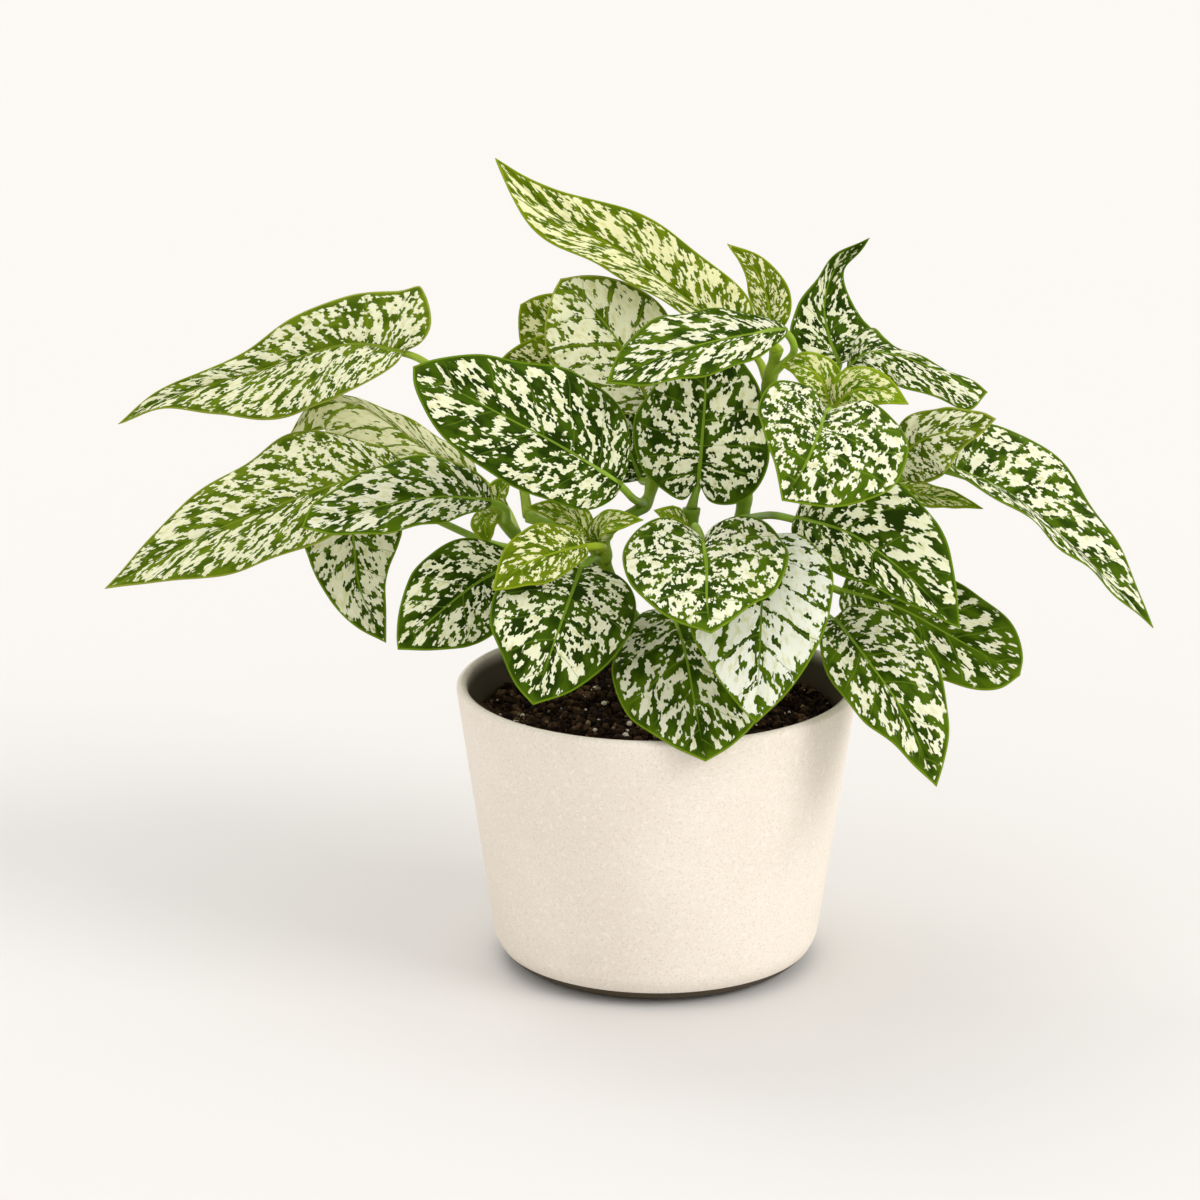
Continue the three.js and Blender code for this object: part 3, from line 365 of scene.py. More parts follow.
        "right": [(0.05, 5), (0.3, 8), (0.6, 6), (0.85, 3)],
        "face": [(0, -0.9, 0.4)],
    },
    "leaf_back_lime_upper": {
        "look": ("lime", 0.54, 0.16), "fold": (6, 6), "curl": (-10, -10),
        "stalk": [(-2, 26, 164), (-8, 34, 168)],
        "rib": [(-18, 40, 171), (-27, 48, 178), (-34, 50, 184), (-42, 52, 190)],
        "left": [(0.05, 6), (0.25, 11), (0.5, 12), (0.75, 10), (0.93, 4)],
        "right": [(0.05, 6), (0.25, 11), (0.5, 13), (0.75, 11), (0.93, 5)],
        "face": [(0, -0.9, 0.4)],
    },
    "leaf_back_lime_lower": {
        "look": ("lime", 0.54, 0.16), "fold": (6, 6), "curl": (-10, -10),
        "stalk": [(-2, 22, 161), (-9, 31, 166)],
        "rib": [(-17, 34, 169), (-28, 38, 173), (-37, 38, 175), (-47, 36, 177)],
        "left": [(0.05, 5), (0.25, 9), (0.5, 10), (0.8, 6)],
        "right": [(0.05, 5), (0.25, 9), (0.55, 10), (0.8, 6), (0.95, 2)],
        "face": [(0, -0.9, 0.4)],
    },
    "leaf_rear_low": {
        "look": ("dark", 0.40, 0.06), "fold": (6, 6), "curl": (-14, -14),
        "stalk": [(21, 12.5, 96.5), (21, 22, 100.5)],
        "rib": [(20, 33, 101.5), (19, 55, 104), (18, 78, 102.5), (17, 99, 96.5)],
        "left": [(0, 6.5), (0.08, 17), (0.3, 21), (0.6, 17), (0.85, 7.5)],
        "right": [(0, 6.5), (0.1, 17), (0.33, 21), (0.62, 16), (0.87, 6.5)],
        "face": [(0, 0.35, 1)],
    },
    "leaf_rear_upper": {
        "look": ("green", 0.52, 0.08), "fold": (6, 6), "curl": (-14, -14),
        "stalk": [(28, 18, 149), (23, 28, 155.5)],
        "rib": [(18, 39, 159), (9, 58, 165), (-1, 78, 168), (-11, 98, 166)],
        "left": [(0, 6), (0.08, 16), (0.3, 20), (0.6, 16), (0.85, 7)],
        "right": [(0, 6), (0.1, 16), (0.33, 20), (0.62, 15), (0.87, 6)],
        "face": [(-0.15, 0.3, 1)],
    },
    "leaf_rear_right": {
        "look": ("pale", 0.60, 0.08), "fold": (6, 6), "curl": (-14, -14),
        "stalk": [(51.5, 3.5, 141.5), (53.5, 14, 145)],
        "rib": [(56, 25, 144.5), (60, 46, 144), (64, 66, 136.5), (67, 83, 124)],
        "left": [(0, 6.5), (0.08, 17), (0.3, 21), (0.6, 17), (0.85, 7.5)],
        "right": [(0, 6.5), (0.1, 17), (0.33, 21), (0.62, 16), (0.87, 6.5)],
        "face": [(0.05, 0.35, 1)],
    },
    "leaf_rear_left_low": {
        "look": ("green", 0.44, 0.08), "fold": (6, 6), "curl": (-14, -14),
        "stalk": [(-12.5, 7.5, 107), (-18, 14, 110)],
        "rib": [(-24, 21, 110.5), (-38, 37, 111.5), (-52, 53, 108), (-65, 68, 99.5)],
        "left": [(0, 6.5), (0.08, 17), (0.3, 21), (0.6, 17), (0.85, 7.5)],
        "right": [(0, 6.5), (0.1, 17), (0.33, 21), (0.62, 16), (0.87, 6.5)],
        "face": [(-0.25, 0.25, 1)],
    },
    "leaf_rear_left": {
        "look": ("pale", 0.66, 0.12), "fold": (6, 6), "curl": (-14, -14),
        "stalk": [(-30.5, 1, 123.5), (-31, 8, 133)],
        "rib": [(-31.5, 17.5, 140), (-33, 35, 151), (-34, 55, 155), (-36, 76, 151)],
        "left": [(0, 5.5), (0.08, 15), (0.3, 19), (0.6, 15), (0.85, 6.5)],
        "right": [(0, 5.5), (0.1, 15), (0.33, 19), (0.62, 14), (0.87, 5.5)],
        "face": [(0, 0.35, 1)],
    },
    "leaf_rear_middle": {
        "look": ("dark", 0.48, 0.06), "fold": (6, 6), "curl": (-14, -14),
        "stalk": [(26, 17.5, 138), (28, 28, 145)],
        "rib": [(30, 40, 148.5), (33, 61, 151.5), (37, 82, 145), (39, 97, 130)],
        "left": [(0, 5.5), (0.08, 14.5), (0.3, 18), (0.6, 14.5), (0.85, 6.5)],
        "right": [(0, 5.5), (0.1, 14.5), (0.33, 18), (0.62, 13.5), (0.87, 5.5)],
        "face": [(0.05, 0.35, 1)],
    },
}

# Each stem as in the CAD: its branches, and the young leaves grown in one with it
STEMS = {
    "stem_left": {
        "runs": [
            {"radii": (2.3, 1.5),
             "path": [(4, 6, ROOT_END), (4, 6, 80), (0, 4, 95), (-8, 0, 108), (-13, -7, 119),
                      (-18, -14, 131), (-27, -13, 136), (-38, -8, 139.5)]},
            {"radii": (1.9, 1.4),
             "path": [(-16, -12, 127), (-15, -15, 136), (-10, -13, 140), (-3, -3, 143), (-1, 14, 157),
                      (-2, 26, 164)]},
        ],
        "young": [
            {"rib": [(-18, -14.5, 131.5), (-23, -20, 140), (-30, -23, 145), (-38, -25, 147)],
             "half": 6, "face": (0, -0.7, 0.7)},
            {"rib": [(-16.5, -14.5, 132.5), (-16, -21, 140), (-11, -26, 143), (-4, -28, 144)],
             "half": 5, "face": (0, -0.7, 0.7)},
        ],
    },
    "stem_far_left": {
        "runs": [
            {"radii": (2.1, 1.4),
             "path": [(-4, 12, ROOT_END), (-4, 12, 80), (-7, 10, 95), (-13, 7, 108), (-25, 2, 120),
                      (-37, 1, 127), (-44, 2, 133), (-49, 4, 141)]},
        ],
        "young": [
            {"rib": [(-48, 3, 139), (-46, -2, 146), (-43, -5, 150)],
             "half": 4.5, "face": (-0.3, -0.8, 0.5)},
            {"rib": [(-48, 3, 138), (-51, -2, 136), (-50, -6, 130)],
             "half": 4.5, "face": (-0.3, -0.8, 0.5)},
        ],
    },
    "stem_centre": {
        "runs": [
            {"radii": (2.5, 2),
             "path": [(10, -6, ROOT_END), (10, -6, 80), (10, -8, 114), (10, -8, 142)]},
        ],
        "young": [
            {"rib": [(10, -9, 137), (4, -17, 142), (-1, -21, 145)],
             "half": 4, "face": (0, -0.8, 0.6)},
            {"rib": [(10, -8, 133), (5, -12, 137), (1, -14, 137)],
             "half": 2.5, "face": (0, -0.8, 0.6)},
        ],
    },
    "stem_upper": {
        "runs": [
            {"radii": (2.3, 1.6),
             "path": [(20, 12, ROOT_END), (20, 12, 80), (24, 14, 120), (27, 18, 144), (32, 16, 169),
                      (35, 10, 186)]},
        ],
        "young": [],
    },
    "stem_right": {
        "runs": [
            {"radii": (2.3, 1.5),
             "path": [(31, 8, ROOT_END), (31, 8, 80), (40, 5, 111), (47, -2, 137), (49, -4, 162),
                      (51, -2, 172), (55, 9, 178)]},
            {"radii": (1.8, 1.4),
             "path": [(46, -1, 132), (49, 2, 140), (60, 6, 144), (71, 6, 148)]},
        ],
        "young": [
            {"rib": [(51, -3, 171), (57, -9, 178), (64, -12, 179), (73, -13, 175)],
             "half": 7, "face": (0.2, -0.8, 0.5)},
            {"rib": [(51, -3, 171), (47, -4, 181), (42, -2, 184), (36, 2, 183)],
             "half": 6.5, "face": (0, -0.7, 0.6)},
            {"rib": [(70, 6, 147), (79, 9, 142), (88, 10, 140), (97, 8, 138)],
             "half": 4, "face": (0, -0.7, 0.7)},
        ],
    },
}

# Colours of the leaves: the darkest and the lighter green, the splashes, the line of the rib and
# veins, and the thin line round the edge.
TONES = {
    "dark": {"deep": (0.018, 0.042, 0.0008), "mid": (0.064, 0.128, 0.003), "white": (0.94, 0.95, 0.71),
             "rib": (0.200, 0.320, 0.025), "rim": (0.170, 0.290, 0.012)},
    "green": {"deep": (0.030, 0.068, 0.001), "mid": (0.098, 0.180, 0.004), "white": (0.96, 0.96, 0.76),
              "rib": (0.240, 0.370, 0.030), "rim": (0.230, 0.350, 0.018)},
    "icy": {"deep": (0.030, 0.068, 0.001), "mid": (0.098, 0.180, 0.004), "white": (0.95, 0.97, 0.86),
            "rib": (0.160, 0.260, 0.020), "rim": (0.200, 0.310, 0.014)},
    # pale: lighter greens, partly the leaves' own colour and partly painted light from behind them
    "pale": {"deep": (0.075, 0.135, 0.003), "mid": (0.180, 0.265, 0.010), "white": (0.97, 0.97, 0.72),
             "rib": (0.260, 0.360, 0.030), "rim": (0.400, 0.460, 0.060)},
    "cream": {"deep": (0.120, 0.200, 0.006), "mid": (0.260, 0.350, 0.020), "white": (0.96, 0.95, 0.66),
              "rib": (0.400, 0.480, 0.080), "rim": (0.480, 0.530, 0.080)},
    "lime": {"deep": (0.085, 0.150, 0.002), "mid": (0.190, 0.270, 0.006), "white": (0.95, 0.94, 0.58),
             "rib": (0.300, 0.410, 0.016), "rim": (0.330, 0.430, 0.018)},
    "young": {"deep": (0.110, 0.220, 0.003), "mid": (0.250, 0.380, 0.010), "white": (0.95, 0.94, 0.52),
              "rib": (0.380, 0.480, 0.025), "rim": (0.380, 0.480, 0.025)},
}
TIP_LIME = (0.330, 0.440, 0.025)
UNDERSIDE = (0.45, 0.55, 0.22)
UNDERSIDE_SHARE = 0.20
STALK_DEEP = 0.75  # a stalk's two greens, of the rib's
STALK_LIGHT = 1.3
WORN_WHITE = (0.80, 0.80, 0.55)  # what is left of a splash's colour where it is thin

# Leaf pattern, in mm on the blade: splashes stretched along the side veins, made of small cells, a
# few of which turn to dots or holes
VEINS_A_SIDE = 7
VEIN_STAGGER = 0.25  # of the space between two veins, from one half of the blade to the other
PATCH_ACROSS = 3.3
PATCH_ALONG = 5.7
FLECK_ACROSS = 1.5
FLECK_ALONG = 2.4
CELL = 0.76
EDGE_WOBBLE = 0.56
SMALL_LEAF = 58.0  # blades shorter than this have a finer pattern
SMALLEST_PATTERN = 0.5
FLECK_WEIGHT = 0.5  # against the patches
NOISE_SPREAD = 0.118
SPLASH_EDGE = 0.003
DOT_DRAW = 0.92  # cells that draw more than this turn white more easily
DOT_RISE = 0.17
HOLE_DRAW = 0.05  # cells that draw less than this turn green more easily
HOLE_DROP = 0.16
SEED_ALONG = 37.0  # how far apart the patterns of two leaves are read
SEED_ACROSS = 11.0

# Where splashes are rarer, from and to in mm, and how much rarer on the rib and at the edge
VEIN_BAND = (0.15, 1.0)
RIB_BAND = (0.4, 3.5)
RIB_LESS = 0.14
EDGE_LESS = 0.30

# Lines on the blade, in mm: half width of the rib at its foot, how much it narrows, and how far the
# side veins waver
RIB_LINE = 0.72
RIB_NARROWS = 0.55
VEIN_WAVER = 2.0

BLADE_ROUGHNESS = 0.48
BLADE_SPECULAR = 0.03
BLADE_TRANSLUCENT = 0.28

# The rim layer holds the distance to the edge and the share of the rib. The share is written times a
# scale below 1, so that 1 can be added to it on the underside, where it is above the mark.
SHARE_SCALE = 0.9
UNDER_MARK = 0.95

# Young leaves at the joints of the stems, as in the CAD
YOUNG_LOOK = ("young", 0.58, 0.14)
YOUNG_OUTLINE = ((0.12, 0.5), (0.42, 1), (0.72, 0.65))  # share of the length, of the half width
YOUNG_FOLD = 12
YOUNG_CURL = -10
YOUNG_STEPS = 30
YOUNG_HALF_STEPS = 7


def unit(v):
    return v / np.linalg.norm(v, axis=-1, keepdims=True)


class Curve:
    """A centripetal Catmull-Rom curve through points, read by arc length in mm."""

    SAMPLES = 400
    TANGENT_REACH = 0.01  # of the length, to both sides

    def __init__(self, points):
        p = [np.asarray(q, float) for q in points]
        count = len(p)
        p = [2 * p[0] - p[1]] + p + [2 * p[-1] - p[-2]]
        line = []
        for k in range(self.SAMPLES + 1):
            place = (count - 1) * k / self.SAMPLES
            i = min(int(place), count - 2)
            w = place - i
            p0, p1, p2, p3 = p[i:i + 4]
            d0, d1, d2 = (np.sum((a - b) ** 2) ** 0.25 for a, b in ((p0, p1), (p1, p2), (p2, p3)))
            t1 = ((p1 - p0) / d0 - (p2 - p0) / (d0 + d1) + (p2 - p1) / d1) * d1
            t2 = ((p2 - p1) / d1 - (p3 - p1) / (d1 + d2) + (p3 - p2) / d2) * d1
            square = -3 * p1 + 3 * p2 - 2 * t1 - t2
            cube = 2 * p1 - 2 * p2 + t1 + t2
            line.append(p1 + t1 * w + square * w ** 2 + cube * w ** 3)
        self.line = np.array(line)
        steps = np.linalg.norm(np.diff(self.line, axis=0), axis=1)
        self.reach = np.concatenate([[0], np.cumsum(steps)])
        self.length = self.reach[-1]

    def inside(self, along):
        return np.stack([np.interp(along, self.reach, self.line[:, k]) for k in range(3)], -1)

    def tangent(self, along):
        near = self.length * self.TANGENT_REACH
        along = np.clip(along, 0, self.length)
        ahead = self.inside(np.clip(along + near, 0, self.length))
        return unit(ahead - self.inside(np.clip(along - near, 0, self.length)))

    def at(self, along):
        """The point at that arc length, straight on past either end."""
        along = np.asarray(along, float)
        held = np.clip(along, 0, self.length)
        return self.inside(held) + (along - held)[..., None] * self.tangent(held)


def blend(rows, share):
    """The value at a share of the way through evenly spread vectors."""
    rows = np.asarray(rows, float)
    if len(rows) == 1:
        return np.broadcast_to(rows[0], np.shape(share) + (3,))
    places = np.linspace(0, 1, len(rows))
    return np.stack([np.interp(share, places, rows[:, k]) for k in range(3)], -1)


def outline(points, length, steps):
    """Share of the rib and distance across, at even steps along one half's edge."""
    inner = [(share * length, across, 0) for share, across in points]
    edge = Curve([(0, 0, 0)] + inner + [(length, 0, 0)])
    spots = edge.at(np.linspace(0, 1, steps + 1) * edge.length)
    return spots[:, 0] / length, np.maximum(spots[:, 1], 0)


def half_width(leaf, half):
    return max(across for _, across in leaf[half])


def blade_surface(leaf, rib, share, across, side):
    """Points and normals of the upper face, from share of the rib and distance across."""
    held = np.clip(share, 0, 1)
    tangent = rib.tangent(held * rib.length)
    face = blend(leaf["face"], held)
    up = unit(face - np.sum(face * tangent, -1, keepdims=True) * tangent)
    out = np.cross(tangent, up) * side[..., None]
    fold = np.radians(np.where(side < 0, leaf["fold"][0], leaf["fold"][1]))
    curl = np.radians(np.where(side < 0, leaf["curl"][0], leaf["curl"][1]))
    bend = curl / np.where(side < 0, half_width(leaf, "left"), half_width(leaf, "right"))
    slope = fold + bend * across
    point = rib.at(share * rib.length)
    point = point + ((np.sin(slope) - np.sin(fold)) / bend)[..., None] * out
    point = point + ((np.cos(fold) - np.cos(slope)) / bend)[..., None] * up
    normal = np.cos(slope)[..., None] * up - np.sin(slope)[..., None] * out
    return point, normal


def vein_spacing(length):
    return length / VEINS_A_SIDE


def blade_grid(leaf, steps, half_steps, phase):
    """The blade's upper and lower grids, and its pattern and edge coordinates in mm."""
    rib = Curve(leaf["rib"])
    step = np.linspace(0, 1, steps + 1)[:, None]
    column = np.linspace(-1, 1, 2 * half_steps + 1)[None, :]
    side = np.where(column < 0, -1.0, 1.0) + 0 * step
    reach = np.abs(column) + 0 * step
    on_rib = step - VEIN_SLANT * step * (1 - step)
    left = outline(leaf["left"], rib.length, steps)
    right = outline(leaf["right"], rib.length, steps)
    edge_share = np.where(side < 0, left[0][:, None], right[0][:, None])
    edge_across = np.where(side < 0, left[1][:, None], right[1][:, None])
    share = on_rib + (edge_share - on_rib) * reach
    across = edge_across * reach
    point, normal = blade_surface(leaf, rib, share, across, side)
    line = np.hypot(edge_across, (edge_share - on_rib) * rib.length)
    from_rib = line * reach
    to_edge = line * (1 - reach)

    along = step * rib.length + 0 * column
    vein = np.abs((along / vein_spacing(rib.length) + VEIN_STAGGER * (side > 0)) % 1 - 0.5) * 2
    widest = max(half_width(leaf, "left"), half_width(leaf, "right"))
    size = min(1.0, max(widest / WHOLE_RELIEF_HALF, LEAST_RELIEF))
    inner = np.clip(from_rib / PUFF_FROM_RIB, 0, 1) * np.clip(to_edge / PUFF_FROM_EDGE, 0, 1)
    puff = PUFF * size * inner * (1 - vein ** 2)
    groove = -GROOVE * size * np.exp(-((from_rib / GROOVE_WIDTH) ** 2)) * (1 - step) ** 0.5
    ripple = np.sin(2 * math.pi * (RIPPLES * step + RIPPLE_SHIFT * (side > 0)) + phase)
    ripple = RIPPLE * size * ripple * reach ** 3 * np.sin(math.pi * step)
    taper = np.clip(to_edge / EDGE_TAPER, 0, 1)
    thickness = EDGE_THICKNESS + (BLADE_THICKNESS - EDGE_THICKNESS) * taper
    upper = point + (puff + groove + ripple)[..., None] * normal
    lower = point + (UNDER_PUFF * puff + groove + ripple - thickness)[..., None] * normal
    pattern = np.stack([along, from_rib * side], -1)
    rim = np.stack([to_edge, SHARE_SCALE * step + 0 * column], -1)
    return rib, upper, lower, pattern, rim


def tube(curve, radii, sides, count, swell=()):
    """Rings round a curve: points, faces, and (around, along) in mm. swell lists places to thicken."""
    along = np.linspace(0, curve.length, count + 1)
    middle = curve.at(along)
    tangent = curve.tangent(along)
    radius = np.interp(along / curve.length, np.linspace(0, 1, len(radii)), radii)
    for place in swell:
        away = np.linalg.norm(middle - np.asarray(place, float), axis=1)
        radius = radius * (1 + SWELL * np.exp(-((away / SWELL_REACH) ** 2)))
    normal = [unit(np.cross(tangent[0], ASKEW))]
    for k in range(1, count + 1):
        flat = normal[-1] - np.dot(normal[-1], tangent[k]) * tangent[k]
        normal.append(unit(flat))
    normal = np.array(normal)
    binormal = np.cross(tangent, normal)
    angle = np.linspace(0, 2 * math.pi, sides, endpoint=False)
    ring = np.cos(angle)[None, :, None] * normal[:, None]
    ring = ring + np.sin(angle)[None, :, None] * binormal[:, None]
    points = middle[:, None] + ring * radius[:, None, None]
    points = points.reshape(-1, 3)
    faces = []
    coords = []
    for i in range(count):
        for k in range(sides):
            following = (k + 1) % sides
            row, above = i * sides, (i + 1) * sides
            faces.append((row + k, row + following, above + following, above + k))
            low, high = along[i], along[i + 1]
            coords.append([(k, low), (k + 1, low), (k + 1, high), (k, high)])
    ends = len(points)
    last = count * sides
    points = np.vstack([points, middle[:1], middle[-1:]])
    for k in range(sides):
        following = (k + 1) % sides
        faces.append((following, k, ends))
        coords.append([(k, 0)] * 3)
        faces.append((last + k, last + following, ends + 1))
        coords.append([(k, along[-1])] * 3)
    return points, faces, coords


class Builder:
    """Collects points and faces of one piece, in mm, and makes its mesh."""

    OFF_EDGE = (9, 0)  # rim coordinates of what is no blade

    def __init__(self):
        self.points = []
        self.faces = []
        self.slots = []
        self.uv = []
        self.rim = []

    def add(self, points, faces, slot, uv=None, rim=None):
        base = sum(len(p) for p in self.points)
        self.points.append(np.asarray(points, float))
        self.faces += [tuple(base + k for k in face) for face in faces]
        self.slots += [slot] * len(faces)
        self.uv += uv or [[(0, 0)] * len(face) for face in faces]
        self.rim += rim or [[self.OFF_EDGE] * len(face) for face in faces]

    def make(self, name, materials):
        mesh = bpy.data.meshes.new(name)
        points = np.vstack(self.points) * MM
        mesh.from_pydata([tuple(p) for p in points], [], self.faces)
        for label, rows in (("pattern", self.uv), ("rim", self.rim)):
            layer = mesh.uv_layers.new(name=label)
            flat = np.array([c for face in rows for c in face], dtype=np.float32)
            layer.data.foreach_set("uv", flat.ravel())
        mesh.uv_layers["pattern"].active = True
        mesh.polygons.foreach_set("material_index", self.slots)
        mesh.polygons.foreach_set("use_smooth", [True] * len(self.faces))
        for material in materials:
            mesh.materials.append(material)
        mesh.validate()
        mesh.update()
        piece = bpy.data.objects.new(name, mesh)
        bpy.context.scene.collection.objects.link(piece)
        return piece


def add_blade(builder, leaf, steps, half_steps, phase, slot):
    """A thin closed blade: rows across it, with one shared point at its foot and at its tip."""
    rib, upper, lower, pattern, rim = blade_grid(leaf, steps, half_steps, phase)
    columns = 2 * half_steps + 1
    index = np.zeros((steps + 1, columns), int)
    flat = [upper[0, half_steps]]
    under = [lower[0, half_steps]]
    for i in range(1, steps):
        index[i] = len(flat) + np.arange(columns)
        flat += list(upper[i])
        under += list(lower[i])
    index[steps] = len(flat)
    flat.append(upper[steps, half_steps])
    under.append(lower[steps, half_steps])
    below = len(flat)
    faces = []
    uv = []
    rims = []
    for i in range(steps):
        for j in range(columns - 1):
            corners = [(i, j), (i, j + 1), (i + 1, j + 1), (i + 1, j)]
            if i == 0:
                corners.pop(0)
            elif i == steps - 1:
                corners.pop()
            face = [index[c] for c in corners]
            spots = [tuple(pattern[c]) for c in corners]
            edges = [tuple(rim[c]) for c in corners]
            faces.append(face)
            uv.append(spots)
            rims.append(edges)
            faces.append([below + k for k in reversed(face)])
            uv.append(spots[::-1])
            rims.append([(a, b + 1) for a, b in edges[::-1]])
    loop = [(0, half_steps)] + [(i, columns - 1) for i in range(1, steps)] + [(steps, half_steps)]
    loop += [(i, 0) for i in range(steps - 1, 0, -1)]
    for a, b in zip(loop, loop[1:] + loop[:1]):
        faces.append([index[a], below + index[a], below + index[b], index[b]])
        uv.append([tuple(pattern[a])] * 2 + [tuple(pattern[b])] * 2)
        rims.append([(0, 0)] * 4)
    builder.add(flat + under, faces, slot, uv, rims)
    return rib


def add_stalk(builder, leaf, rib, slot):
    """The stalk and the raised rib under the blade."""
    path = list(leaf["stalk"])
    for share in RIB_SPOTS:
        here = np.array([share])
        point, normal = blade_surface(leaf, rib, here, np.zeros(1), np.ones(1))
        radius = STALK_RADIUS + (RIB_TIP_RADIUS - STALK_RADIUS) * share / RIB_REACH
        path.append(point[0] - (radius + RIB_DROP) * normal[0])
    curve = Curve(path)
    foot = 1 - rib.length * RIB_REACH / curve.length
    thickness = [STALK_FLARE * STALK_RADIUS, STALK_RADIUS, STALK_RADIUS, RIB_TIP_RADIUS]
    places = np.linspace(0, 1, STALK_PLACES)
    radii = np.interp(places, [0, FLARE_SHARE * foot, foot, 1], thickness)
    points, faces, coords = tube(curve, radii, STALK_SIDES, int(curve.length / STALK_STEP))
    builder.add(points, faces, slot, coords)


# Shader nodes


def node(tree, kind, **settings):
    made = tree.nodes.new(kind)
    for name, value in settings.items():
        setattr(made, name, value)
    return made


def feed(tree, socket, value):
    """Links a socket, or sets a plain value on it."""
    if isinstance(value, bpy.types.NodeSocket):
        tree.links.new(value, socket)
    else:
        socket.default_value = value


def calc(tree, operation, *values, clamp=False):
    made = node(tree, "ShaderNodeMath", operation=operation, use_clamp=clamp)
    for socket, value in zip(made.inputs, values):
        feed(tree, socket, value)
    return made.outputs[0]


def ramp(tree, value, low, high, to_low=0.0, to_high=1.0):
    """A smooth step from to_low to to_high as value goes from low to high."""
    made = node(tree, "ShaderNodeMapRange", interpolation_type="SMOOTHSTEP")
    settings = {"Value": value, "From Min": low, "From Max": high, "To Min": to_low, "To Max": to_high}
    for name, amount in settings.items():
        feed(tree, made.inputs[name], amount)
    return made.outputs[0]


def mix(tree, share, first, second):
    made = node(tree, "ShaderNodeMix", data_type="RGBA")
    feed(tree, made.inputs[0], share)
    feed(tree, made.inputs[6], first)
    feed(tree, made.inputs[7], second)
    return made.outputs[2]


def vector(tree, x, y):
    made = node(tree, "ShaderNodeCombineXYZ")
    feed(tree, made.inputs[0], x)
    feed(tree, made.inputs[1], y)
    return made.outputs[0]


def split(tree, place):
    """The x, y and z of a place."""
    made = node(tree, "ShaderNodeSeparateXYZ")
    tree.links.new(place, made.inputs[0])
    return tuple(made.outputs)


def noise(tree, place, scale, detail=2.0, dimensions="2D"):
    made = node(tree, "ShaderNodeTexNoise", noise_dimensions=dimensions)
    feed(tree, made.inputs["Vector"], place)
    made.inputs["Scale"].default_value = scale
    made.inputs["Detail"].default_value = detail
    return made.outputs[0]


def fresh_material(name):
    material = bpy.data.materials.new(name)
    material.use_nodes = True
    tree = material.node_tree
    return material, tree, tree.nodes["Principled BSDF"], tree.nodes["Material Output"]


def rgba(colour):
    return (*colour, 1.0)


def finish_look(tree, shader, colour, roughness, specular):
    tree.links.new(colour, shader.inputs["Base Color"])
    shader.inputs["Roughness"].default_value = roughness
    shader.inputs["Specular IOR Level"].default_value = specular


def bump(tree, shader, height, strength, distance):
    made = node(tree, "ShaderNodeBump")
    made.inputs["Strength"].default_value = strength
    made.inputs["Distance"].default_value = distance
    tree.links.new(height, made.inputs["Height"])
    tree.links.new(made.outputs[0], shader.inputs["Normal"])


# Looks of the leaves


def leaf_places(tree, length, seed):
    """Where a spot lies on its blade, in mm: from the rib, to the edge, off the nearest vein."""
    at = SimpleNamespace()
    along, across, _ = split(tree, node(tree, "ShaderNodeUVMap", uv_map="pattern").outputs[0])
    at.to_edge, marked, _ = split(tree, node(tree, "ShaderNodeUVMap", uv_map="rim").outputs[0])
    at.underside = calc(tree, "GREATER_THAN", marked, UNDER_MARK)
    at.share = calc(tree, "FRACT", marked)
    at.from_rib = calc(tree, "ABSOLUTE", across)
    at.scale = min(1.0, max(SMALLEST_PATTERN, length / SMALL_LEAF))
    shifted_along = calc(tree, "ADD", along, seed * SEED_ALONG)
    at.shifted = vector(tree, shifted_along, calc(tree, "ADD", across, seed * SEED_ACROSS))

    # The side veins, a little wavy
    spacing = vein_spacing(length)
    right_half = calc(tree, "GREATER_THAN", across, 0.0)
    lane = calc(tree, "MULTIPLY_ADD", right_half, VEIN_STAGGER * spacing, along)
    bend = calc(tree, "SUBTRACT", noise(tree, at.shifted, 0.10, detail=0.0), 0.5)
    lane = calc(tree, "MULTIPLY_ADD", bend, VEIN_WAVER, lane)
    at.off_vein = calc(tree, "PINGPONG", calc(tree, "ADD", lane, spacing * 0.5), spacing * 0.5)
    return at


def leaf_cells(tree, at):
    """Small jagged cells, each of which is wholly white or wholly green."""
    wobble = node(tree, "ShaderNodeTexNoise", noise_dimensions="2D")
    tree.links.new(at.shifted, wobble.inputs["Vector"])
    wobble.inputs["Scale"].default_value = 1.1 / at.scale
    wobble.inputs["Detail"].default_value = 1.0
    moved = node(tree, "ShaderNodeVectorMath", operation="MULTIPLY_ADD")
    tree.links.new(wobble.outputs["Color"], moved.inputs[0])
    moved.inputs[1].default_value = (EDGE_WOBBLE * at.scale, EDGE_WOBBLE * at.scale, 0.0)
    tree.links.new(at.shifted, moved.inputs[2])
    cells = node(tree, "ShaderNodeTexVoronoi", voronoi_dimensions="2D")
    tree.links.new(moved.outputs[0], cells.inputs["Vector"])
    cells.inputs["Scale"].default_value = 1.0 / (CELL * at.scale)
    return cells


def cell_noise(tree, at, cells, across, along, detail):
    """Noise with one value for a whole cell, in patches of that size."""
    cell_x, cell_y, _ = split(tree, cells.outputs["Position"])
    patch_x = calc(tree, "DIVIDE", cell_x, across * at.scale)
    patch_y = calc(tree, "DIVIDE", cell_y, along * at.scale)
    return noise(tree, vector(tree, patch_x, patch_y), 1.0, detail=detail)


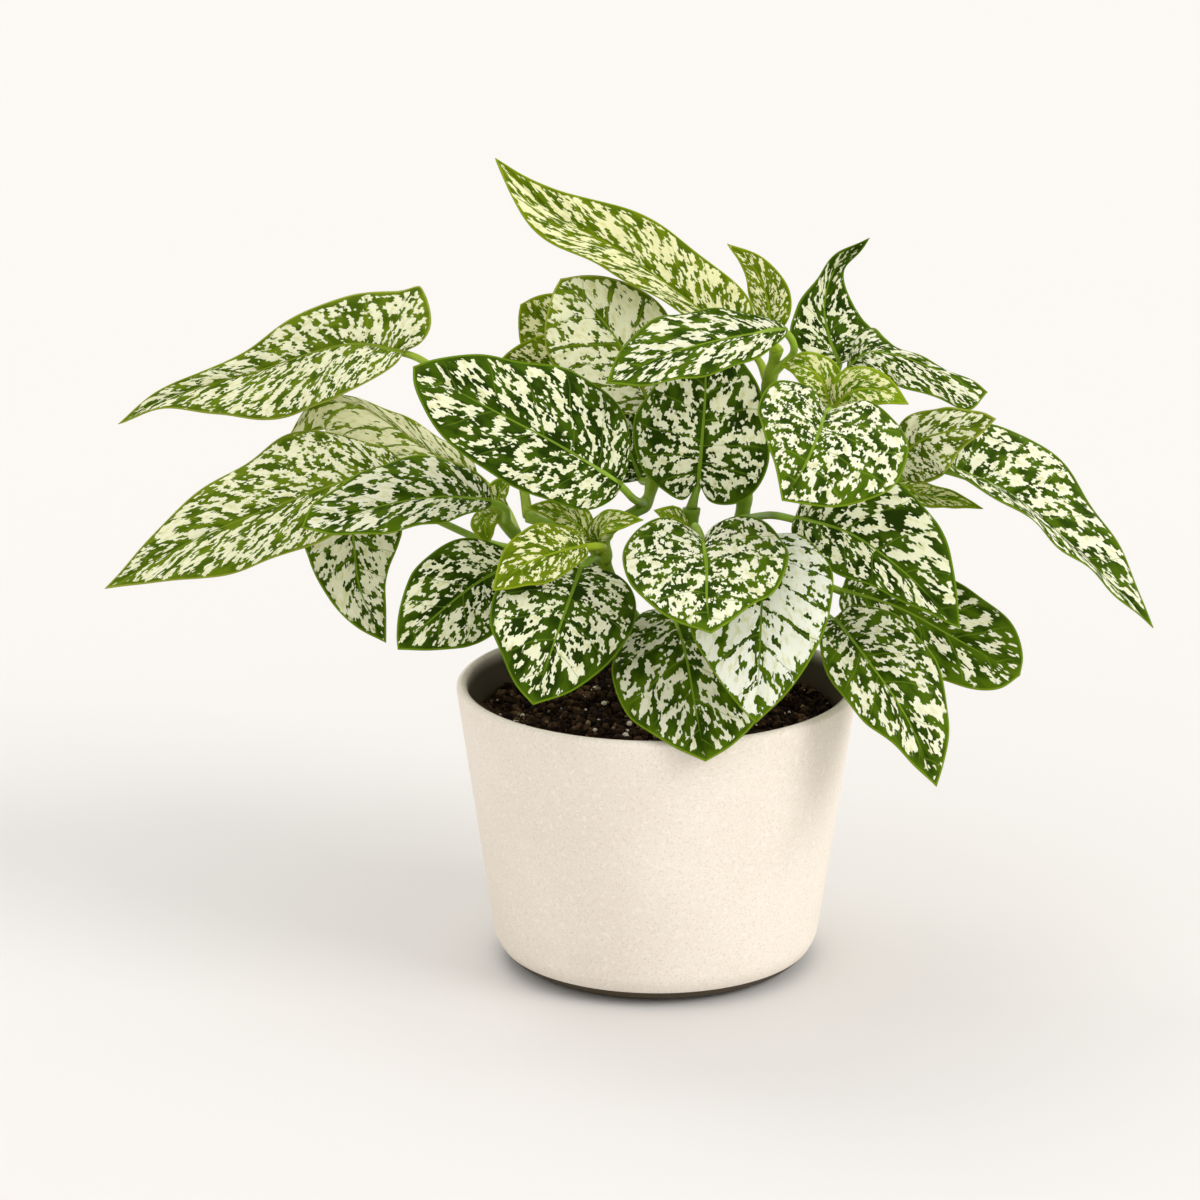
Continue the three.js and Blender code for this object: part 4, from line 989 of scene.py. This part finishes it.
def splashes(tree, at, cells, white_share, net):
    """1 where the blade is splashed white; its veins, rib and edge stay mostly green."""
    patches = cell_noise(tree, at, cells, PATCH_ACROSS, PATCH_ALONG, 1.0)
    flecks = cell_noise(tree, at, cells, FLECK_ACROSS, FLECK_ALONG, 0.0)
    value = calc(tree, "MULTIPLY_ADD", calc(tree, "SUBTRACT", flecks, 0.5), FLECK_WEIGHT, patches)
    draw, _, _ = split(tree, cells.outputs["Color"])
    dots = calc(tree, "MULTIPLY", calc(tree, "GREATER_THAN", draw, DOT_DRAW), DOT_RISE)
    holes = calc(tree, "MULTIPLY", calc(tree, "LESS_THAN", draw, HOLE_DRAW), HOLE_DROP)
    value = calc(tree, "SUBTRACT", calc(tree, "ADD", value, dots), holes)
    vein_band = ramp(tree, at.off_vein, *VEIN_BAND, net, 0.0)
    rib_band = ramp(tree, at.from_rib, RIB_BAND[0], RIB_BAND[1] * at.scale, RIB_LESS, 0.0)
    edge_band = ramp(tree, at.to_edge, 0.5, 1.0 + 0.9 * at.scale, EDGE_LESS, 0.0)
    bands = calc(tree, "ADD", calc(tree, "ADD", vein_band, rib_band), edge_band)
    value = calc(tree, "SUBTRACT", value, bands)
    level = 0.5 + NOISE_SPREAD * statistics.NormalDist().inv_cdf(1 - white_share)
    return ramp(tree, value, level - SPLASH_EDGE, level + SPLASH_EDGE)


def leaf_green(tree, at, tones):
    """Two greens in soft patches, lighter towards the edge and the tip."""
    near_edge = ramp(tree, at.to_edge, 0.5, 4.0, 0.40, 0.0)
    patches = ramp(tree, noise(tree, at.shifted, 0.14, detail=3.0), 0.36, 0.66, 0.0, 0.9)
    light = calc(tree, "ADD", patches, near_edge, clamp=True)
    green = mix(tree, light, tones["deep"], tones["mid"])
    veins = ramp(tree, at.off_vein, 0.05, 0.30, 0.40, 0.0)
    veins = calc(tree, "MULTIPLY", veins, ramp(tree, at.to_edge, 0.5, 6.0))
    green = mix(tree, veins, green, tones["rib"])
    return mix(tree, ramp(tree, at.share, 0.86, 0.96, 0.0, 0.7), green, rgba(TIP_LIME))


def leaf_white(tree, at, tones):
    """The splashes' cream, greener in soft patches where it is thin."""
    worn = ramp(tree, noise(tree, at.shifted, 0.5, detail=3.0), 0.46, 0.74, 0.0, 0.8)
    return mix(tree, worn, tones["white"], rgba(a * b for a, b in zip(tones["white"], WORN_WHITE)))


def leaf_lines(tree, at, tones, colour, is_white):
    """Draws the fine veins over the splashes, the line round the edge and the rib."""
    fine_veins = calc(tree, "MULTIPLY", ramp(tree, at.off_vein, 0.05, 0.18, 0.5, 0.0), is_white)
    colour = mix(tree, fine_veins, colour, tones["rib"])
    colour = mix(tree, ramp(tree, at.to_edge, 0.30, 0.70, 0.95, 0.0), colour, tones["rim"])
    rib_width = calc(tree, "MULTIPLY_ADD", at.share, -RIB_NARROWS, RIB_LINE)
    rib_line = calc(tree, "LESS_THAN", at.from_rib, rib_width)
    rib_line = calc(tree, "MULTIPLY", rib_line, ramp(tree, at.share, 0.86, 0.7))
    return mix(tree, rib_line, colour, tones["rib"])


def leaf_material(name, leaf, seed):
    """Jagged cream splashes between green veins, laid along the side veins of the blade."""
    material, tree, shader, output = fresh_material(name)
    look, white_share, net = leaf["look"]
    tones = {part: rgba(colour) for part, colour in TONES[look].items()}
    at = leaf_places(tree, Curve(leaf["rib"]).length, seed)
    cells = leaf_cells(tree, at)
    is_white = splashes(tree, at, cells, white_share, net)
    colour = mix(tree, is_white, leaf_green(tree, at, tones), leaf_white(tree, at, tones))
    colour = leaf_lines(tree, at, tones, colour, is_white)
    underside = calc(tree, "MULTIPLY", at.underside, UNDERSIDE_SHARE)
    colour = mix(tree, underside, colour, rgba(UNDERSIDE))
    finish_look(tree, shader, colour, BLADE_ROUGHNESS, BLADE_SPECULAR)
    sunk = ramp(tree, at.off_vein, 0.1, 0.8, -0.6, 0.0)
    pebble = calc(tree, "MULTIPLY", cells.outputs["Distance"], -0.5)
    height = calc(tree, "ADD", noise(tree, at.shifted, 2.4, detail=3.0), sunk)
    bump(tree, shader, calc(tree, "ADD", height, pebble), strength=0.35, distance=0.0006)

    through = node(tree, "ShaderNodeBsdfTranslucent")
    tree.links.new(colour, through.inputs["Color"])
    both = node(tree, "ShaderNodeMixShader")
    both.inputs[0].default_value = BLADE_TRANSLUCENT
    tree.links.new(shader.outputs[0], both.inputs[1])
    tree.links.new(through.outputs[0], both.inputs[2])
    tree.links.new(both.outputs[0], output.inputs["Surface"])
    return material


# Looks of the stems, the pot and the soil


def stalk_material(name, deep, light):
    """Smooth green stalk with faint streaks along it."""
    material, tree, shader, _ = fresh_material(name)
    place = node(tree, "ShaderNodeTexCoord").outputs["Object"]
    broad = noise(tree, place, 60.0, dimensions="3D")
    fine = noise(tree, place, 900.0, dimensions="3D")
    streak = calc(tree, "SUBTRACT", fine, 0.5)
    share = calc(tree, "MULTIPLY_ADD", streak, 0.5, ramp(tree, broad, 0.3, 0.7), clamp=True)
    finish_look(tree, shader, mix(tree, share, rgba(deep), rgba(light)), roughness=0.42, specular=0.2)
    shader.inputs["Subsurface Weight"].default_value = 0.15
    shader.inputs["Subsurface Radius"].default_value = (0.4, 0.6, 0.1)
    shader.inputs["Subsurface Scale"].default_value = 0.002
    bump(tree, shader, fine, strength=0.15, distance=0.0003)
    return material


def inner_stain_and_shade(tree, place, cloud):
    """Inside the pot's wall, how dark brown it is from the soil line up: soil staining and painted shade.
    """
    x, y, height = split(tree, place)
    flat = node(tree, "ShaderNodeVectorMath", operation="LENGTH")
    tree.links.new(vector(tree, x, y), flat.inputs[0])
    middle = (RIM_RADIUS - WALL_TAPER * POT_HEIGHT - WALL / 2) * MM
    wall_middle = calc(tree, "MULTIPLY_ADD", height, WALL_TAPER, middle)
    inside = calc(tree, "LESS_THAN", flat.outputs["Value"], wall_middle)
    uneven = calc(tree, "MULTIPLY_ADD", calc(tree, "SUBTRACT", cloud, 0.5), STAIN_AND_SHADE_WAVE * MM, height)
    top = (POT_HEIGHT + STAIN_AND_SHADE_TOP) * MM
    # Dark brown below the rim, part soil staining and part painted shade
    stain_and_shade = ramp(tree, uneven, top, (POT_HEIGHT - STAIN_AND_SHADE_FULL) * MM, 0.0, STAIN_AND_SHADE_DEPTH)
    return calc(tree, "MULTIPLY", inside, stain_and_shade)


def pot_material():
    """Matt cream pot with fine specks; the wall inside is darkened by soil staining and painted shade."""
    material, tree, shader, _ = fresh_material("pot_cream")
    place = node(tree, "ShaderNodeTexCoord").outputs["Object"]
    cloud = noise(tree, place, 18.0, detail=4.0, dimensions="3D")
    fine = noise(tree, place, 1700.0, dimensions="3D")
    coarse = noise(tree, place, 700.0, dimensions="3D")
    body = mix(tree, ramp(tree, cloud, 0.35, 0.7), rgba(POT_DIM), rgba(POT_LIGHT))
    body = mix(tree, ramp(tree, fine, 0.50, 0.70, 0.0, 0.40), body, rgba(POT_DARK_SPECKS))
    body = mix(tree, ramp(tree, coarse, 0.55, 0.70, 0.0, 0.40), body, rgba(POT_PALE_SPECKS))
    # Inner wall darkened brown: partly soil staining, partly painted shade under the leaves
    body = mix(tree, inner_stain_and_shade(tree, place, cloud), body, rgba(POT_STAIN_AND_SHADE))
    finish_look(tree, shader, body, roughness=0.62, specular=0.25)
    bump(tree, shader, fine, strength=0.12, distance=0.0004)
    return material


def soil_material(name, deep, light, scale):
    material, tree, shader, _ = fresh_material(name)
    place = node(tree, "ShaderNodeTexCoord").outputs["Object"]
    tone = noise(tree, place, scale, detail=4.0, dimensions="3D")
    colour = mix(tree, ramp(tree, tone, 0.4, 0.7), rgba(deep), rgba(light))
    finish_look(tree, shader, colour, roughness=0.9, specular=0.1)
    bump(tree, shader, tone, strength=0.6, distance=0.0008)
    return material


# Pot and soil


def wall_radius(height):
    return RIM_RADIUS - WALL_TAPER * (POT_HEIGHT - height)


def rounded_turn(base, radius, outset, steps=ROUNDING_STEPS):
    """Profile points from a flat floor round to the wall."""
    wall_angle = math.atan(WALL_TAPER)
    centre = wall_radius(base + radius) + outset - radius / math.cos(wall_angle)
    turn = []
    for k in range(steps + 1):
        angle = -math.pi / 2 + (math.pi / 2 - wall_angle) * k / steps
        turn.append((centre + radius * math.cos(angle), base + radius + radius * math.sin(angle)))
    return turn


def turned_faces(rings, sides):
    """Faces of a closed turned body: a first point, rings of points, and a last point."""
    top = 1 + (rings - 1) * sides
    faces = []
    for k in range(sides):
        following = (k + 1) % sides
        faces.append((0, 1 + following, 1 + k))
        for ring in range(rings - 1):
            a = 1 + ring * sides
            faces.append((a + k, a + following, a + sides + following, a + sides + k))
        faces.append((top + k, top + following, top + sides))
    return faces


def lathe(builder, profile, sides, lift=None):
    """A closed turned body; the profile starts and ends on the axis."""
    points = [(0, 0, profile[0][1])]
    for radius, height in profile[1:-1]:
        for angle in np.linspace(0, 2 * math.pi, sides, endpoint=False):
            x, y = radius * math.cos(angle), radius * math.sin(angle)
            points.append((x, y, height + (lift(x, y, height) if lift else 0)))
    points.append((0, 0, profile[-1][1]))
    builder.add(points, turned_faces(len(profile) - 2, sides), 0)


def make_pot():
    lip_radius = WALL / 2
    lip_centre = wall_radius(POT_HEIGHT) - lip_radius
    lip = []
    for k in range(LIP_STEPS + 1):
        angle = math.pi * k / LIP_STEPS
        height = POT_HEIGHT - lip_radius + lip_radius * math.sin(angle)
        lip.append((lip_centre + lip_radius * math.cos(angle), height))
    outside = rounded_turn(0, FOOT_ROUNDING, 0, FOOT_STEPS)
    inside = rounded_turn(POT_FLOOR, INNER_ROUNDING, -WALL)[::-1]
    builder = Builder()
    lathe(builder, [(0, 0)] + outside + lip + inside + [(0, POT_FLOOR)], POT_SIDES)
    piece = builder.make("pot_shell", [pot_material()])
    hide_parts("pot")
    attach(piece, "root")


def soil_height(x, y):
    """Even, repeatable lumps, as in the CAD."""
    broad = math.sin(x * 0.21 + 1.3) * math.cos(y * 0.17 - 0.6)
    fine = math.sin(x * 0.53 - y * 0.41) * math.cos(y * 0.61 + x * 0.19)
    return SOIL_LUMP * (BROAD_SHARE * broad + (1 - BROAD_SHARE) * fine)


def ground_lift(x, y, height):
    """Lowers the ground a little, so that the crumbs on it make up its surface."""
    return soil_height(x, y) - GROUND_DROP if height == SOIL_LEVEL else 0


def grain(rng, centre, size, rings, sides):
    """A small lumpy grain."""
    points = [np.array((0, 0, -1.0))]
    for i in range(1, rings):
        angle = math.pi * i / rings
        for k in range(sides):
            turn = 2 * math.pi * (k + 0.5 * (i % 2)) / sides
            out = math.sin(angle)
            points.append(np.array((out * math.cos(turn), out * math.sin(turn), -math.cos(angle))))
    points.append(np.array((0, 0, 1.0)))
    stretch = np.array([rng.uniform(*GRAIN_WIDE), rng.uniform(*GRAIN_WIDE), rng.uniform(*GRAIN_TALL)])
    spin = rng.uniform(0, 2 * math.pi)
    c, s = math.cos(spin), math.sin(spin)
    turned = np.array([[c, -s, 0], [s, c, 0], [0, 0, 1]])
    tilt = rng.uniform(-GRAIN_TILT, GRAIN_TILT)
    rise, run = math.sin(tilt), math.cos(tilt)
    tilted = np.array([[1, 0, 0], [0, run, -rise], [0, rise, run]])
    placed = [tilted @ turned @ (p * stretch * rng.uniform(*GRAIN_ROUGH)) * size + centre for p in points]
    return placed, turned_faces(rings - 1, sides)


def scatter(builder, rng, count, reach, middle, spread, largest, base, lift, rings, sides, slots):
    """Grains on the soil, out to reach. The logarithm of their size has that middle and spread; their
    own middles lie at base above the soil, and lift times their size higher."""
    for _ in range(count):
        radius = reach * math.sqrt(rng.random())
        angle = rng.uniform(0, 2 * math.pi)
        x, y = radius * math.cos(angle), radius * math.sin(angle)
        size = min(rng.lognormvariate(middle, spread), largest)
        centre = np.array((x, y, SOIL_LEVEL + soil_height(x, y) + base + lift * size))
        points, faces = grain(rng, centre, size, rings, sides)
        builder.add(points, faces, rng.choice(slots))


def make_soil():
    rng = random.Random(SOIL_SEED)
    outset = -WALL - SEAT_GAP
    edge = wall_radius(SOIL_LEVEL) + outset
    floor = POT_FLOOR + SEAT_GAP
    profile = [(0, floor)] + rounded_turn(floor, INNER_ROUNDING, outset)
    profile += [(edge * k / SOIL_RINGS, SOIL_LEVEL) for k in range(SOIL_RINGS, 0, -1)]
    builder = Builder()
    lathe(builder, profile + [(0, SOIL_LEVEL)], SOIL_SIDES, ground_lift)
    scatter(builder, rng, count=3600, reach=edge - 1.2, middle=-0.25, spread=0.42, largest=2.2,
            base=-0.3, lift=0.25, rings=4, sides=6, slots=(0, 0, 1))
    scatter(builder, rng, count=190, reach=edge - 1.5, middle=-0.72, spread=0.32, largest=1.1,
            base=0.5, lift=0.35, rings=5, sides=8, slots=(2, 2, 3))
    materials = [
        soil_material("soil_dark", (0.010, 0.005, 0.003), (0.045, 0.024, 0.011), 400.0),
        soil_material("soil_brown", (0.040, 0.021, 0.010), (0.150, 0.085, 0.042), 300.0),
        soil_material("grain_white", (0.72, 0.64, 0.50), (0.92, 0.87, 0.76), 500.0),
        soil_material("grain_tan", (0.20, 0.13, 0.07), (0.45, 0.33, 0.20), 500.0),
    ]
    piece = builder.make("soil_mix", materials)
    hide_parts("soil")
    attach(piece, "root")


# The plant


def stalk_looks():
    """A stalk material for each set of leaf colours."""
    looks = {}
    for look, tones in TONES.items():
        darker = tuple(STALK_DEEP * c for c in tones["rib"])
        lighter = tuple(STALK_LIGHT * c for c in tones["rib"])
        looks[look] = stalk_material("stalk_" + look, darker, lighter)
    return looks


def make_leaves():
    rng = random.Random(LEAF_SEED)
    stalks = stalk_looks()
    for seed, (name, leaf) in enumerate(LEAVES.items(), 1):
        look = leaf["look"][0]
        blade = leaf_material(name + "_blade", leaf, seed)
        builder = Builder()
        rib = add_blade(builder, leaf, BLADE_STEPS, HALF_STEPS, rng.uniform(0, FULL_PHASE), 0)
        add_stalk(builder, leaf, rib, 1)
        piece = builder.make(name + "_fine", [blade, stalks[look]])
        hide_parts(name)
        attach(piece, "root")


def young_leaf(rib, half, face):
    """A young leaf's full row of values, as in the CAD."""
    shape = [(share, across * half) for share, across in YOUNG_OUTLINE]
    return {"look": YOUNG_LOOK, "rib": rib, "left": shape, "right": shape, "face": [face],
            "fold": [YOUNG_FOLD] * 2, "curl": [YOUNG_CURL] * 2}


def make_stems():
    rng = random.Random(STEM_SEED)
    green = stalk_material("stem_green", STEM_DEEP, STEM_LIGHT)
    joints = [np.array(leaf["stalk"][0]) for leaf in LEAVES.values()]
    for seed, (name, stem) in enumerate(STEMS.items(), FIRST_YOUNG_SEED):
        builder = Builder()
        for run in stem["runs"]:
            curve = Curve(run["path"])
            swell = [p for p in joints if min(np.linalg.norm(curve.line - p, axis=1)) < JOINT_NEAR]
            rings = int(curve.length / STEM_STEP)
            points, faces, coords = tube(curve, run["radii"], STEM_SIDES, rings, swell)
            builder.add(points, faces, 0, coords)
        materials = [green]
        for k, young in enumerate(stem["young"]):
            leaf = young_leaf(**young)
            materials.append(leaf_material(f"{name}_young_{k}", leaf, seed + YOUNG_SEED_STEP * k))
            phase = rng.uniform(0, FULL_PHASE)
            add_blade(builder, leaf, YOUNG_STEPS, YOUNG_HALF_STEPS, phase, len(materials) - 1)
        piece = builder.make(name + "_fine", materials)
        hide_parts(name)
        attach(piece, "root")


# Floor, light and camera


def make_stage():
    builder = Builder()
    corners = [(-1, -1), (1, -1), (1, 1), (-1, 1)]
    builder.add([(FLOOR_REACH * x, FLOOR_REACH * y, 0) for x, y in corners], [(0, 1, 2, 3)], 0)
    material, tree, shader, _ = fresh_material("floor_pale")
    place = node(tree, "ShaderNodeTexCoord").outputs["Object"]
    cloud = noise(tree, place, 2.0, dimensions="3D")
    colour = mix(tree, cloud, rgba(FLOOR_DIM), rgba(FLOOR_LIGHT))
    finish_look(tree, shader, colour, roughness=0.9, specular=0.1)
    builder.make("floor", [material])


def aim_rotation(place, aim):
    return (Vector(aim) - Vector(place)).to_track_quat("-Z", "Y").to_euler()


def soft_sun(name, place, spread, strength, colour):
    """A wide, even light from that side, so the floor stays evenly lit far back."""
    data = bpy.data.lights.new(name, "SUN")
    data.angle = math.radians(spread)
    data.energy = strength
    data.color = colour
    lamp = bpy.data.objects.new(name, data)
    lamp.location = place
    lamp.rotation_euler = aim_rotation(place, (0, 0, 0))
    bpy.context.scene.collection.objects.link(lamp)


def make_world():
    world = bpy.data.worlds.new("studio")
    world.use_nodes = True
    shade = world.node_tree.nodes["Background"]
    shade.inputs["Color"].default_value = rgba(WORLD_COLOUR)
    shade.inputs["Strength"].default_value = WORLD_STRENGTH
    bpy.context.scene.world = world


def make_camera():
    data = bpy.data.cameras.new("camera")
    data.lens = CAMERA_LENS
    data.clip_start = 0.05
    data.clip_end = 50
    camera = bpy.data.objects.new("camera", data)
    camera.location = CAMERA_PLACE
    camera.rotation_euler = aim_rotation(CAMERA_PLACE, CAMERA_AIM)
    bpy.context.scene.collection.objects.link(camera)
    bpy.context.scene.camera = camera


make_pot()
make_soil()
make_stems()
make_leaves()
make_stage()
make_world()
soft_sun("key", place=(1.5, -0.8, 1.2), spread=30, strength=1.2, colour=(1.0, 0.98, 0.95))
soft_sun("top", place=(-0.6, 1.0, 1.62), spread=30, strength=0.6, colour=(1.0, 0.985, 0.96))
make_camera()
bpy.context.scene.view_settings.view_transform = "Standard"
